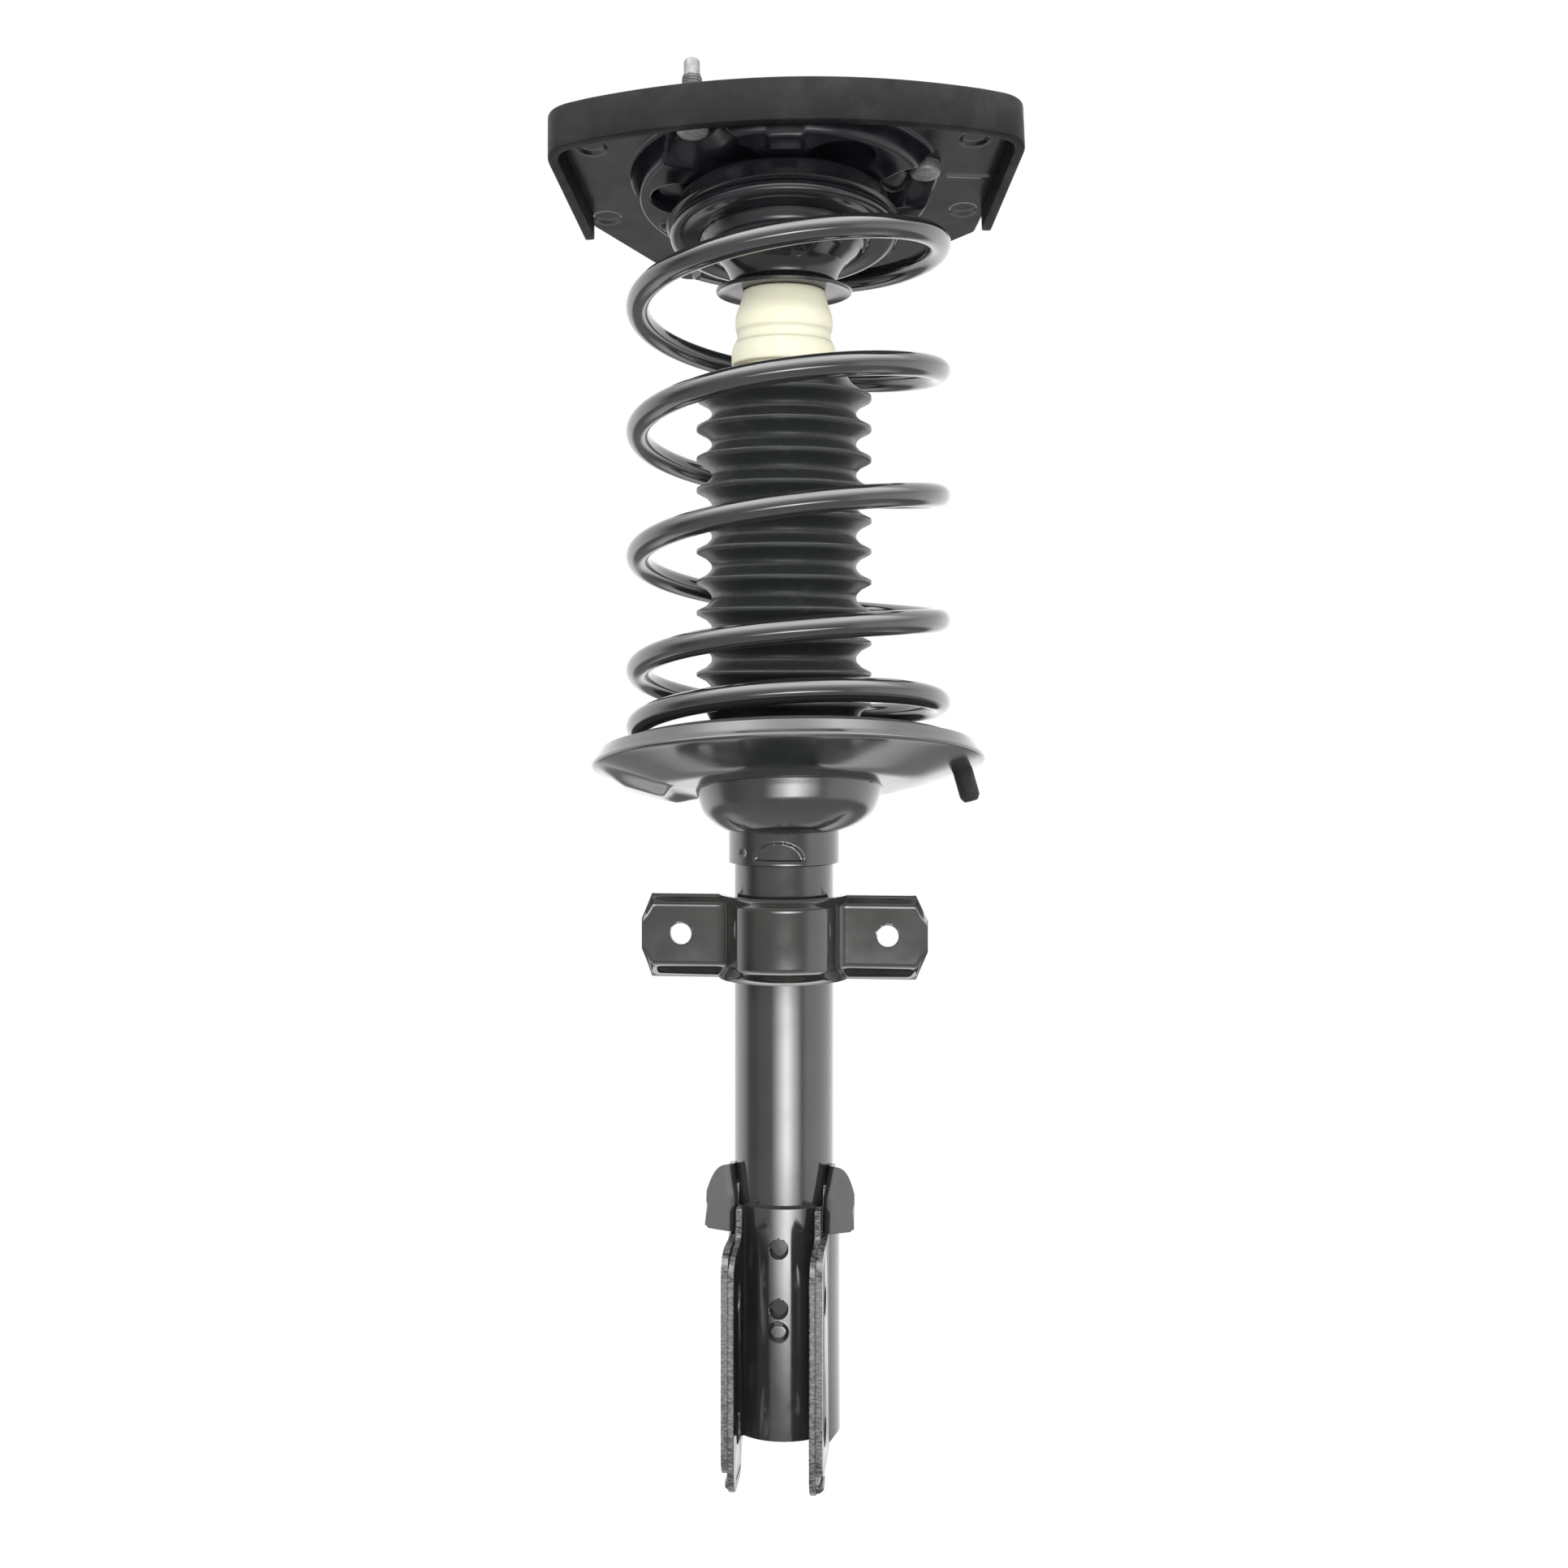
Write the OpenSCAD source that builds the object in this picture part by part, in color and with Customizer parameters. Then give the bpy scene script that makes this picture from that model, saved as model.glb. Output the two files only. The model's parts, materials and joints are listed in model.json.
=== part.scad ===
/* [Tower mount] */
// Thickness of the pressed mount plate
plate_t = 3; // [2:0.5:4]
// Half width of the mount at its front corners
mount_half_w = 118; // [112:1:130]
// Distance from the rod axis forward to the middle of the front edge
mount_front = 81; // [76:1:92]
// Radius of the bowed front edge
mount_front_r = 287; // [220:1:400]
// Distance from the rod axis back to the rear edge
mount_back = 129; // [115:1:145]
// Half width of the rear edge
mount_back_half_w = 62; // [45:1:75]
// Angle between the tower face and a plane square to the rod, front edge up
tilt = 10; // [0:0.5:14]
// Direction in which the tower face and the spring seats rise, from the front towards +X
tilt_turn = 12; // [0:1:20]
// Direction in which the front edge of the mount looks, from the front towards +X
mount_turn = 5; // [0:1:12]
// Diameter of the pressed dome under the plate
dome_d = 158; // [154:1:166]
// Depth from the tower face to the underside of the dome
dome_drop = 16; // [12:0.5:20]
// Number of round pockets pressed up into the dome floor
pockets = 9; // [6:1:10]
// Diameter of those pockets
pocket_d = 20; // [14:1:22]

/* [Rim seal] */
// Height of the rubber band round the front and the sides
seal_h = 22; // [16:1:28]
// How far the band stands above the tower face
seal_proud = 7; // [3:1:9]
// Thickness of the band
seal_t = 5; // [4:0.5:7]
// How far back from the rod axis each end of the band lies
seal_back = 47; // [35:1:60]

/* [Studs] */
// Diameter of the circle of tower studs
stud_circle_d = 145; // [140:0.5:148]
// Thread diameter of a stud
stud_d = 10; // [8:1:10]
// Length of a stud above the tower face
stud_l = 29.5; // [20:0.5:35]
// Diameter of the head under the plate
stud_head_d = 16; // [13:1:17]
// Turn of the first stud from the mount's +X
stud_turn = -7; // [-15:1:5]

/* [Rod and bump stop] */
// Piston rod diameter
rod_d = 20; // [16:0.5:22]
// Diameter of the rod's threaded top
rod_thread_d = 14; // [12:1:14]
// Depth from the tower face to the top of the stop washer
washer_drop = 60.8; // [58:0.2:66]
// Diameter of the stop washer
washer_d = 70; // [62:1:76]
// Length of the foam bump stop
bump_l = 66; // [55:1:75]
// Largest diameter of the bump stop
bump_d = 54; // [46:1:56]

/* [Damper] */
// Outer diameter of the reserve tube
tube_d = 51; // [49:0.5:52]
// Wall of the reserve tube
tube_wall = 2; // [1.5:0.25:2.5]
// Depth from the tower face to the top of the tube, rod fully out
tube_drop = 248; // [240:1:256]
// Length of the reserve tube
tube_l = 392; // [370:1:420]
// Bore of the pressure tube, which is the piston diameter
bore_d = 30; // [28:0.5:32]
// Wall of the pressure tube
bore_wall = 1.5; // [1:0.25:2]
// Lift of the valve plates
valve_lift = 1; // [0.5:0.1:1.5]

/* [Coil spring] */
// Wire diameter
wire_d = 12; // [10:0.5:13]
// Mean diameter of the coils
coil_d = 155; // [150:1:160]
// Sideways shift of the coil axis from the rod axis
coil_shift = 2.3; // [0:0.1:4]
// Turns from the open front of the first coil to the lower end
coil_turns = 4.64; // [4.4:0.02:4.7]

/* [Dust boot] */
// Diameter over the boot's folds
boot_d = 90; // [84:1:96]
// Diameter in the boot's valleys
boot_valley_d = 73; // [70:1:78]
// Wall of the boot
boot_wall = 1.6; // [1.2:0.1:2]
// Number of folds
boot_folds = 11; // [9:1:13]

/* [Lower spring seat] */
// Depth from the tower face to the rim of the seat, on the rod axis
seat_drop = 307; // [300:1:314]
// Diameter of the seat rim
seat_d = 201; // [192:1:208]
// Thickness of the seat
seat_t = 2.5; // [2:0.25:3]
// Diameter of the bowl under the seat
bowl_d = 92; // [86:1:98]
// Height of the lower insulator's top above the rim
insulator_top = 12; // [10:0.5:14]
// Length of the insulator's locating peg under the seat
peg_l = 21; // [10:1:24]
// Diameter of that peg
peg_d = 10.5; // [7:0.5:11]

/* [Hose bracket] */
// Depth from the tower face to the middle of the bracket
hose_drop = 394.2; // [380:0.2:430]
// Height of the bracket over its lips
hose_h = 43.5; // [36:0.5:52]
// Width over the two ears
hose_w = 148; // [136:1:160]
// Distance between the two holes
hose_hole_gap = 107; // [98:0.5:114]
// Diameter of the two holes
hose_hole_d = 11; // [8:0.5:12]
// Thickness of the bracket
hose_t = 3; // [2:0.25:3.5]

/* [Knuckle bracket] */
// Thickness of each of the bracket's two layers
knuckle_t = 3.2; // [2.5:0.1:4]
// Gap between the two flanges
knuckle_gap = 36.4; // [33:0.2:38]
// Distance from the rod axis forward to the flange edges
flange_reach = 62; // [56:1:72]
// Distance from the rod axis forward to the bolt holes
bolt_reach = 45; // [42:0.5:48]
// Diameter of the two bolt holes
bolt_d = 14.3; // [12:0.1:15]
// Distance between the two bolt holes
bolt_gap = 64; // [50:0.5:70]
// Height of the lower bolt hole above the bottom of the flanges
bolt_rise = 27; // [22:0.5:32]
// Width over the two flared lips
lips_w = 75; // [68:1:80]

/* [Hidden] */
$fn = 96;

STEEL = [0.13, 0.14, 0.14];
RUBBER = [0.05, 0.05, 0.05];
ZINC = [0.72, 0.73, 0.72];
FOAM = [0.95, 0.93, 0.78];

eps = 0.1;
joint_gap = 0.05;
soft_gap = 0.3;
corner_steps = 3;

rod_r = rod_d / 2;
tube_r = tube_d / 2;
tube_top = -tube_drop;
tube_bottom = tube_top - tube_l;
tube_in_r = tube_r - tube_wall;
seat_z = -seat_drop;
coil_r = coil_d / 2;
wire_r = wire_d / 2;

function unit(v) = v / norm(v);
function reversed(p) = [for (i = [len(p) - 1:-1:0]) p[i]];
function side(a, b) = unit([a.y - b.y, b.x - a.x]);

// A point list moved sideways by d, with mitred corners
function shifted(p, d) = [
    for (i = [0:len(p) - 1])
        let (before = side(p[max(i - 1, 0)], p[max(i, 1)]),
             after = side(p[min(i, len(p) - 2)], p[min(i + 1, len(p) - 1)]),
             mitre = unit(before + after))
        p[i] + mitre * d / (mitre * before)];

// The outline of sheet metal of thickness t that follows the points p
function sheet(p, t) = concat(shifted(p, t / 2), reversed(shifted(p, -t / 2)));

// Round the corner b between a and c, starting b.z before it on each side
function corner(a, b, c) =
    let (p = [b.x, b.y], from = p + unit([a.x, a.y] - p) * b.z, to = p + unit([c.x, c.y] - p) * b.z)
    [for (k = [0:corner_steps])
        let (s = k / corner_steps) from * (1 - s) * (1 - s) + p * 2 * s * (1 - s) + to * s * s];

// Points [x, y, how far the corner is rounded]; the ends stay sharp in a path
function path(p) = [
    for (i = [0:len(p) - 1])
        each (i == 0 || i == len(p) - 1 || p[i].z == 0)
            ? [[p[i].x, p[i].y]] : corner(p[i - 1], p[i], p[i + 1])];
function loop(p) = [
    for (i = [0:len(p) - 1])
        each p[i].z == 0
            ? [[p[i].x, p[i].y]] : corner(p[(i + len(p) - 1) % len(p)], p[i], p[(i + 1) % len(p)])];

module tube(r_out, r_in, z_low, z_high) {
    translate([0, 0, z_low])
        difference() {
            cylinder(h = z_high - z_low, r = r_out);
            translate([0, 0, -eps]) cylinder(h = z_high - z_low + 2 * eps, r = r_in);
        }
}

module disc(r, z_low, z_high) {
    translate([0, 0, z_low]) cylinder(h = z_high - z_low, r = r);
}

// The tilted frame of the tower face: z = 0 is the face, -y is the mount's front
module on_mount() {
    rotate([0, 0, tilt_turn]) rotate([-tilt, 0, 0]) rotate([0, 0, mount_turn - tilt_turn]) children();
}

// A frame tilted like the tower face, centred on the coil axis at height z
module on_tilt(z, shift) {
    translate([shift, 0, z]) rotate([0, 0, tilt_turn]) rotate([-tilt, 0, 0]) children();
}

// ---- tower mount ----

seal_low = seal_proud - seal_h;
side_slope = 0.085;
outline_shift = 1.3;
function side_x(back) = mount_half_w - side_slope * (mount_front - 25 + back);
front_half = mount_half_w - 23;
front_steps = 8;
function front_y(x) = -mount_front + x * x / (2 * mount_front_r);

// Outer face of the rubber band, from its left end round the front to its right end
function band_path(back) = path(concat(
    [[-side_x(back), back, 0], [-mount_half_w, front_y(mount_half_w) + 0.5, 15]],
    [for (k = [0:front_steps]) let (x = front_half * (2 * k / front_steps - 1)) [x, front_y(x), 0]],
    [[mount_half_w, front_y(mount_half_w) + 0.5, 15], [side_x(back), back, 0]]));
seal_path = band_path(seal_back);
plate_inset = 3;
plate_side_back = seal_back + 8;

// Rear half of the plate: a rounded lobe on the right, a straight slant on the left
lobe_x = side_x(seal_back) - 6;
slant_x = mount_back_half_w + 16;
slant_y = mount_back - 27;
plate_rear = path([
    [lobe_x, plate_side_back + 18, 0],
    [lobe_x - 13, seal_back + 39, 5],
    [slant_x, slant_y, 4],
    [mount_back_half_w, mount_back, 4],
    [-mount_back_half_w, mount_back, 4],
    [-slant_x, slant_y, 0]]);
plate_outline = concat(shifted(band_path(plate_side_back), plate_inset), plate_rear);

dome_r = dome_d / 2;
dome_draft = 3;
dome_shift = dome_r + seal_t + 0.2 - mount_front;
stud_r = stud_d / 2;
stud_head_h = 6.5;
shank_r = stud_r + 0.4;
shank_end = -0.3;
stud_pocket_r = stud_head_d / 2 + 5;
pocket_r = pocket_d / 2;
pocket_depth = 6;
pocket_ring_r = dome_r - 2 * pocket_r - 3;
well_r = 33.5;
dimple_d = 15;
dimple_depth = 1.5;
dimples = [[95, -34], [96, 45]];

module at_studs() {
    for (k = [0:2]) rotate([0, 0, stud_turn + 120 * k]) translate([stud_circle_d / 2, 0, 0]) children();
}

// Round pockets in the dome; the stud pockets go right up to the plate
module dome_pockets(grow) {
    at_studs() disc(stud_pocket_r + grow, -dome_drop - eps, eps - (grow > 0 ? 0 : plate_t / 2));
    translate([0, dome_shift, 0])
        for (k = [0:pockets - 1])
            rotate([0, 0, 360 * (k + 0.5) / pockets - 90])
                translate([pocket_ring_r, 0, 0])
                    disc(pocket_r + grow, -dome_drop - eps, -dome_drop + pocket_depth + grow);
}

module mount_plate() {
    color(STEEL)
    difference() {
        on_mount()
            difference() {
                union() {
                    translate([outline_shift, 0, -plate_t]) linear_extrude(plate_t) polygon(plate_outline);
                    difference() {
                        translate([0, dome_shift, -dome_drop])
                            cylinder(h = dome_drop - plate_t / 2, r1 = dome_r - dome_draft, r2 = dome_r);
                        dome_pockets(0);
                    }
                }
                difference() {
                    translate([0, dome_shift, -dome_drop + plate_t])
                        cylinder(h = dome_drop, r1 = dome_r - dome_draft - plate_t, r2 = dome_r - plate_t);
                    dome_pockets(plate_t);
                }
                at_studs() disc(shank_r + joint_gap, -dome_drop, eps);
                for (p = dimples)
                    for (s = [-1, 1])
                        translate([s * p.x, p.y, 0]) disc(dimple_d / 2, -plate_t - eps, dimple_depth - plate_t);
            }
        disc(well_r, -2 * dome_drop - dome_r, dome_r);
    }
}

// The band sits under the plate's edge and its thinner lip stands beside that edge
module rim_seal() {
    color(RUBBER)
    on_mount() translate([outline_shift, 0, 0]) {
        translate([0, 0, seal_low])
            linear_extrude(-plate_t - joint_gap - seal_low)
                polygon(concat(seal_path, reversed(shifted(seal_path, seal_t))));
        translate([0, 0, seal_low])
            linear_extrude(seal_h)
                polygon(concat(seal_path, reversed(shifted(seal_path, plate_inset - joint_gap))));
    }
}

dog_point_l = 7;
dog_point_r = stud_r - 1.05;
chamfer = 0.8;

module tower_studs() {
    color(ZINC)
    on_mount() at_studs() {
        rotate_extrude() polygon([
            [0, -plate_t - stud_head_h],
            [stud_head_d / 2 - 1.5, -plate_t - stud_head_h],
            [stud_head_d / 2, -plate_t - stud_head_h + 1.5],
            [stud_head_d / 2, -plate_t],
            [shank_r, -plate_t],
            [shank_r, shank_end],
            [stud_r, 0],
            [stud_r, stud_l - dog_point_l - chamfer],
            [dog_point_r, stud_l - dog_point_l],
            [dog_point_r, stud_l - chamfer],
            [dog_point_r - chamfer, stud_l],
            [0, stud_l]]);
    }
}

// ---- spring pilot: tilted pan with a rolled lip, and a bell square to the rod ----

pilot_t = 2.5;
pilot_r = 57.5;
pilot_wall_r = 53;
pilot_lip_z = -33;
bell_top_r = 43;
pan_in_z = -4;
bell_foot_r = 27.5;
bell_foot_z = -washer_drop + 6.3;
pan_top_z = -dome_drop - pilot_lip_z * cos(tilt) - joint_gap;

pan_wall_in_r = pilot_wall_r - pilot_t / 2;
pan_wall_out_r = pilot_wall_r + pilot_t / 2;
pan_low = pan_in_z - pilot_t / 2;
pan_high = pan_in_z + pilot_t / 2;
ridge_h = 1.8;
pan_hole_r = well_r + 4;

// Pan section: flange under the dome, wall, rolled lip, ridge and the ring round the bell
pan_section = [
    [pan_hole_r, pan_top_z],
    [pan_wall_out_r, pan_top_z],
    [pan_wall_out_r, pilot_t],
    [pilot_r - 1, pilot_t],
    [pilot_r, pilot_t - 1],
    [pilot_r, pan_low + 1],
    [pilot_r - 1, pan_low],
    [pan_wall_in_r - 2, pan_low],
    [pan_wall_in_r - 4, pan_low + ridge_h],
    [pan_wall_in_r - 5.5, pan_low + ridge_h],
    [pan_wall_in_r - 7.5, pan_low],
    [bell_top_r - 2, pan_low],
    [bell_top_r - 2, pan_high],
    [pan_wall_in_r - 8, pan_high],
    [pan_wall_in_r - 6, pan_high + ridge_h],
    [pan_wall_in_r - 3.5, pan_high + ridge_h],
    [pan_wall_in_r - 1.5, pan_high],
    [pan_wall_in_r, pan_high],
    [pan_wall_in_r, pan_top_z - pilot_t],
    [pan_hole_r, pan_top_z - pilot_t]];
bell_path = path([
    [bell_top_r, 0, 0],
    [bell_top_r, pilot_lip_z - 2, 8],
    [bell_foot_r + 2, pilot_lip_z - 10, 5],
    [bell_foot_r, bell_foot_z, 0]]);

module spring_pilot() {
    color(STEEL)
    on_tilt(pilot_lip_z, 0) rotate_extrude() polygon(pan_section);
}

// Bell under the pan, square to the rod; its top edge is cut to the pan's slope
module pilot_bell() {
    color(STEEL)
    difference() {
        rotate_extrude() polygon(sheet(bell_path, pilot_t));
        on_tilt(pilot_lip_z, 0) disc(dome_r, pan_in_z - pilot_t / 2 - joint_gap, dome_r);
    }
}

pad_t = 2.5;
pad_half = 8;
pad_arc = 115;
coil_start = -0.42;
coil_first_angle = 6;

// Rubber pad between the upper end of the coil and the dome
module upper_insulator() {
    color(RUBBER)
    on_tilt(-dome_drop / cos(tilt), coil_shift)
        rotate([0, 0, 75 - tilt_turn])
            rotate_extrude(angle = pad_arc)
                polygon([[coil_r - pad_half, -pad_t], [coil_r + pad_half / 2, -pad_t],
                    [coil_r + pad_half / 2, 0], [coil_r - pad_half, 0]]);
}

// ---- rubber bushing round the rod top ----

shell_wall = 2;
shell_top = -5;
shell_bottom = pilot_lip_z - 1;
sleeve_r = 11;
sleeve_top = -8;
pad_foot_r = bell_foot_r - pilot_t - soft_gap;
thread_r = rod_thread_d / 2;
washer_t = 2;
nut_h = 12;

module bushing_shell() {
    color(STEEL) tube(well_r - joint_gap, well_r - shell_wall, shell_bottom, shell_top);
}

module mount_bushing() {
    color(RUBBER)
    rotate_extrude() polygon([
        [sleeve_r + joint_gap, -washer_drop + washer_t + joint_gap],
        [pad_foot_r - 1, -washer_drop + washer_t / 2],
        [pad_foot_r, -washer_drop + washer_t + 1],
        [pad_foot_r, pilot_lip_z - 3],
        [well_r - shell_wall - joint_gap, shell_bottom + 1],
        [well_r - shell_wall - joint_gap, shell_top - 3],
        [sleeve_r + 6, shell_top - 6],
        [sleeve_r + joint_gap, shell_top - 6]]);
}

module bushing_sleeve() {
    color(ZINC)
    tube(sleeve_r, thread_r + joint_gap, -washer_drop, sleeve_top);
}

module top_washer() {
    color(ZINC)
    tube(sleeve_r + 10, thread_r + joint_gap, sleeve_top, sleeve_top + washer_t + 0.5);
}

nut_flats = 21;
nut_base = sleeve_top + washer_t + 0.5;

module rod_nut() {
    color(ZINC)
    difference() {
        union() {
            translate([0, 0, nut_base]) cylinder(h = nut_h, d = nut_flats / cos(30), $fn = 6);
            disc(nut_flats / 2 + 3, nut_base, nut_base + washer_t);
        }
        disc(thread_r + joint_gap, nut_base - eps, nut_base + nut_h + eps);
    }
}

module stop_washer() {
    color(STEEL)
    rotate_extrude() polygon(sheet(path([
        [thread_r + joint_gap, -washer_drop - washer_t / 2, 0],
        [washer_d / 2 - 5, -washer_drop - washer_t / 2, 3],
        [washer_d / 2, -washer_drop - washer_t / 2 - 1.5, 0]]), washer_t));
}

// ---- bump stop: foam with two grooves, the lower one holds the boot ----

bump_top = -washer_drop - washer_t;
bump_r = bump_d / 2;
bump_bore_r = rod_r + soft_gap;
groove_r = bump_r - 2.8;
groove_drop = 41;
boot_top = bump_top - groove_drop;
collar_h = 5;

module bump_stop() {
    color(FOAM)
    rotate_extrude() polygon(path([
        [bump_bore_r, bump_top, 0],
        [bump_r - 2.6, bump_top, 1],
        [bump_r - 3.6, bump_top - 5, 3],
        [bump_r - 0.8, bump_top - 15, 4],
        [bump_r - 4.2, bump_top - 22, 3],
        [bump_r, bump_top - 30, 3],
        [bump_r, boot_top + 2.5, 1],
        [groove_r, boot_top + 1.5, 1],
        [groove_r, boot_top - collar_h - 1, 1],
        [bump_r - 1.5, boot_top - collar_h - 3, 3],
        [bump_r - 7, boot_top - collar_h - 11, 3],
        [bump_bore_r + 4, bump_top - bump_l, 2],
        [bump_bore_r, bump_top - bump_l, 0]]));
}

// ---- piston rod and what it carries inside the damper ----

guide_h = 20;
guide_flange_h = 8;
seal_depth = 8;
guide_bottom = tube_top - seal_depth - guide_h;
bumper_h = 10;
ring_h = 4;
ring_z = guide_bottom - soft_gap - bumper_h;
spacer = 14;
rod_shoulder = ring_z - ring_h - spacer;
stub_r = 6;
plate_gap = joint_gap;
check_t = 1;
piston_h = 22;
piston_top = rod_shoulder - valve_lift - check_t - plate_gap;
piston_bottom = piston_top - piston_h;
piston_nut_h = 9;
piston_r = bore_d / 2 - 0.5;
band_r = bore_d / 2 - joint_gap;
rod_top = nut_base + nut_h + 6;

module piston_rod() {
    color(ZINC)
    rotate_extrude() polygon([
        [0, rod_top],
        [thread_r - 1, rod_top],
        [thread_r, rod_top - 1],
        [thread_r, bump_top],
        [rod_r - chamfer, bump_top],
        [rod_r, bump_top - chamfer],
        [rod_r, rod_shoulder],
        [stub_r, rod_shoulder],
        [stub_r, piston_bottom - piston_nut_h - 2],
        [0, piston_bottom - piston_nut_h - 2]]);
}

module rebound_ring() {
    color(ZINC) tube(bore_d / 2 - 1.5, rod_r + joint_gap, ring_z - ring_h, ring_z);
}

module rebound_bumper() {
    color(RUBBER) tube(bore_d / 2 - 2, rod_r + joint_gap, ring_z + joint_gap, ring_z + bumper_h);
}

port_ring_r = 10;
port_r = 1.6;
ports = 8;
band_h = 10;
band_t = 1;

module piston() {
    color(ZINC)
    difference() {
        disc(piston_r, piston_bottom, piston_top);
        disc(stub_r + joint_gap, piston_bottom - eps, piston_top + eps);
        for (k = [0:ports - 1])
            rotate([0, 0, 360 * k / ports])
                translate([port_ring_r, 0, 0]) disc(port_r, piston_bottom - eps, piston_top + eps);
        tube(piston_r + 1, band_r - band_t, piston_top - 6 - band_h, piston_top - 6);
    }
}

module piston_band() {
    color([0.35, 0.22, 0.12])
    tube(band_r, band_r - band_t + joint_gap, piston_top - 6 - band_h + joint_gap, piston_top - 6 - joint_gap);
}

module piston_check_plate() {
    color(ZINC)
    tube(piston_r - 1, stub_r + 2 * joint_gap, piston_top + plate_gap, piston_top + plate_gap + check_t);
}

module piston_nut() {
    color(ZINC)
    difference() {
        translate([0, 0, piston_bottom - piston_nut_h])
            cylinder(h = piston_nut_h - joint_gap, d = 19 / cos(30), $fn = 6);
        disc(stub_r + joint_gap, piston_bottom - piston_nut_h - eps, piston_bottom + eps);
    }
}

// ---- coil spring ----

rings_per_turn = 32;
wire_sides = 10;
easing_start = 2.9;
end_pitch_share = 0.125;
upper_wire_z = -(dome_drop + pad_t + soft_gap + wire_r) / cos(tilt);
lower_wire_z = seat_z + (insulator_top + soft_gap + wire_r) / cos(tilt);
lift_off = -0.25;
easing_turns = coil_turns - easing_start;
coil_pitch = (upper_wire_z - lower_wire_z)
    / (easing_start - lift_off + easing_turns * (1 + end_pitch_share) / 2);

// Height of the wire centre on the coil axis after u turns, before the seats' tilt
function coil_height(u) =
    u < lift_off ? upper_wire_z
    : u < easing_start ? upper_wire_z - coil_pitch * (u - lift_off)
    : let (v = u - easing_start)
        upper_wire_z - coil_pitch * (easing_start - lift_off)
        - coil_pitch * (v - (1 - end_pitch_share) * v * v / (2 * easing_turns));

function smooth(t) = let (s = min(max(t, 0), 1)) s * s * (3 - 2 * s);

// Share of the seats' tilt that the coil follows: all of it at both ends, some of it between
free_share = 0.25;
fade_out = 0.6;
fade_in = 2.8;
fade_in_turns = 1.45;
function tilt_share(u) =
    free_share + (1 - free_share)
    * (1 - smooth((u - lift_off) / fade_out) + smooth((u - fade_in) / fade_in_turns));

function coil_angle(u) = coil_first_angle - 360 * u;
function coil_point(u) =
    let (a = coil_angle(u), rise = tan(tilt) * coil_r * cos(a + 90 - tilt_turn))
    [coil_shift + coil_r * cos(a), coil_r * sin(a), coil_height(u) + tilt_share(u) * rise];

coil_rings = round((coil_turns - coil_start) * rings_per_turn);
function ring_turn(i) = coil_start + (coil_turns - coil_start) * i / coil_rings;
coil_points = [for (i = [0:coil_rings]) coil_point(ring_turn(i))];

// One ring of the wire: its sides stand square to the wire's direction
function wire_ring(i) =
    let (along = unit(coil_points[min(i + 1, coil_rings)] - coil_points[max(i - 1, 0)]),
         outward = unit(cross([0, 0, 1], along)),
         up = cross(along, outward))
    [for (k = [0:wire_sides - 1])
        let (a = 360 * k / wire_sides) coil_points[i] + wire_r * (cos(a) * outward + sin(a) * up)];

wire_points = [for (i = [0:coil_rings]) each wire_ring(i)];
function wire_quads() = [
    for (i = [0:coil_rings - 1])
        for (k = [0:wire_sides - 1])
            let (a = i * wire_sides + k, b = i * wire_sides + (k + 1) % wire_sides)
            each [[a, b, a + wire_sides], [b, b + wire_sides, a + wire_sides]]];
wire_faces = concat(
    [[for (k = [wire_sides - 1:-1:0]) k]],
    wire_quads(),
    [[for (k = [0:wire_sides - 1]) coil_rings * wire_sides + k]]);

coil_self_gap = min([
    for (i = [0:coil_rings])
        for (j = [i + rings_per_turn / 2:coil_rings])
            norm(coil_points[i] - coil_points[j])]) - wire_d;

module coil_spring() {
    echo("least gap between coils, mm", coil_self_gap);
    color(STEEL) polyhedron(wire_points, wire_faces, convexity = 12);
}

// ---- dust boot ----

boot_r = boot_d / 2;
boot_valley_r = boot_valley_d / 2;
cuff_h = 10;
boot_bottom = seat_z + 4;
first_fold = boot_top - collar_h - 9.5;
last_fold = boot_bottom + cuff_h + 17.2;
fold_pitch = (first_fold - last_fold) / (boot_folds - 1);
ridge = 0.8;
cuff_r = tube_r + soft_gap + boot_wall / 2;

boot_folds_path = [
    for (k = [0:boot_folds - 1])
        let (z = first_fold - k * fold_pitch)
        each [
            [boot_r - boot_wall / 2, z + ridge],
            [boot_r - boot_wall / 2, z - ridge],
            if (k < boot_folds - 1) [boot_valley_r, z - fold_pitch / 2]]];
boot_path = concat(
    [[groove_r + soft_gap + boot_wall / 2, boot_top - collar_h],
     [groove_r + soft_gap + boot_wall / 2, boot_top],
     [bump_r + 2, boot_top - 0.5],
     [boot_valley_r - 2, first_fold + 7]],
    boot_folds_path,
    [[boot_valley_r - 2, boot_bottom + cuff_h + 2],
     [cuff_r, boot_bottom + cuff_h],
     [cuff_r, boot_bottom]]);

module dust_boot() {
    color(RUBBER) rotate_extrude() polygon(sheet(boot_path, boot_wall));
}

// ---- damper tubes, guide and valves ----

crimp = 2.5;
cap_wall = 1.2;
cap_h = 16;
bore_r = bore_d / 2;

module strut_tube() {
    color(STEEL)
    difference() {
        disc(tube_r, tube_bottom, tube_top);
        disc(tube_in_r, tube_bottom - eps, tube_top - tube_wall);
        disc(tube_in_r - crimp, tube_top - tube_wall - eps, tube_top + eps);
    }
}

module bump_cap() {
    color(STEEL)
    difference() {
        disc(tube_r + joint_gap + cap_wall, tube_top - cap_h, tube_top + cap_wall);
        disc(tube_r + joint_gap, tube_top - cap_h - eps, tube_top);
        disc(rod_r + 1.5, tube_top - eps, tube_top + cap_wall + eps);
        for (k = [0:5])
            rotate([0, 0, 60 * k]) translate([rod_r + 6, 0, 0]) disc(2, tube_top - eps, tube_top + cap_wall + eps);
    }
}

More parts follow.
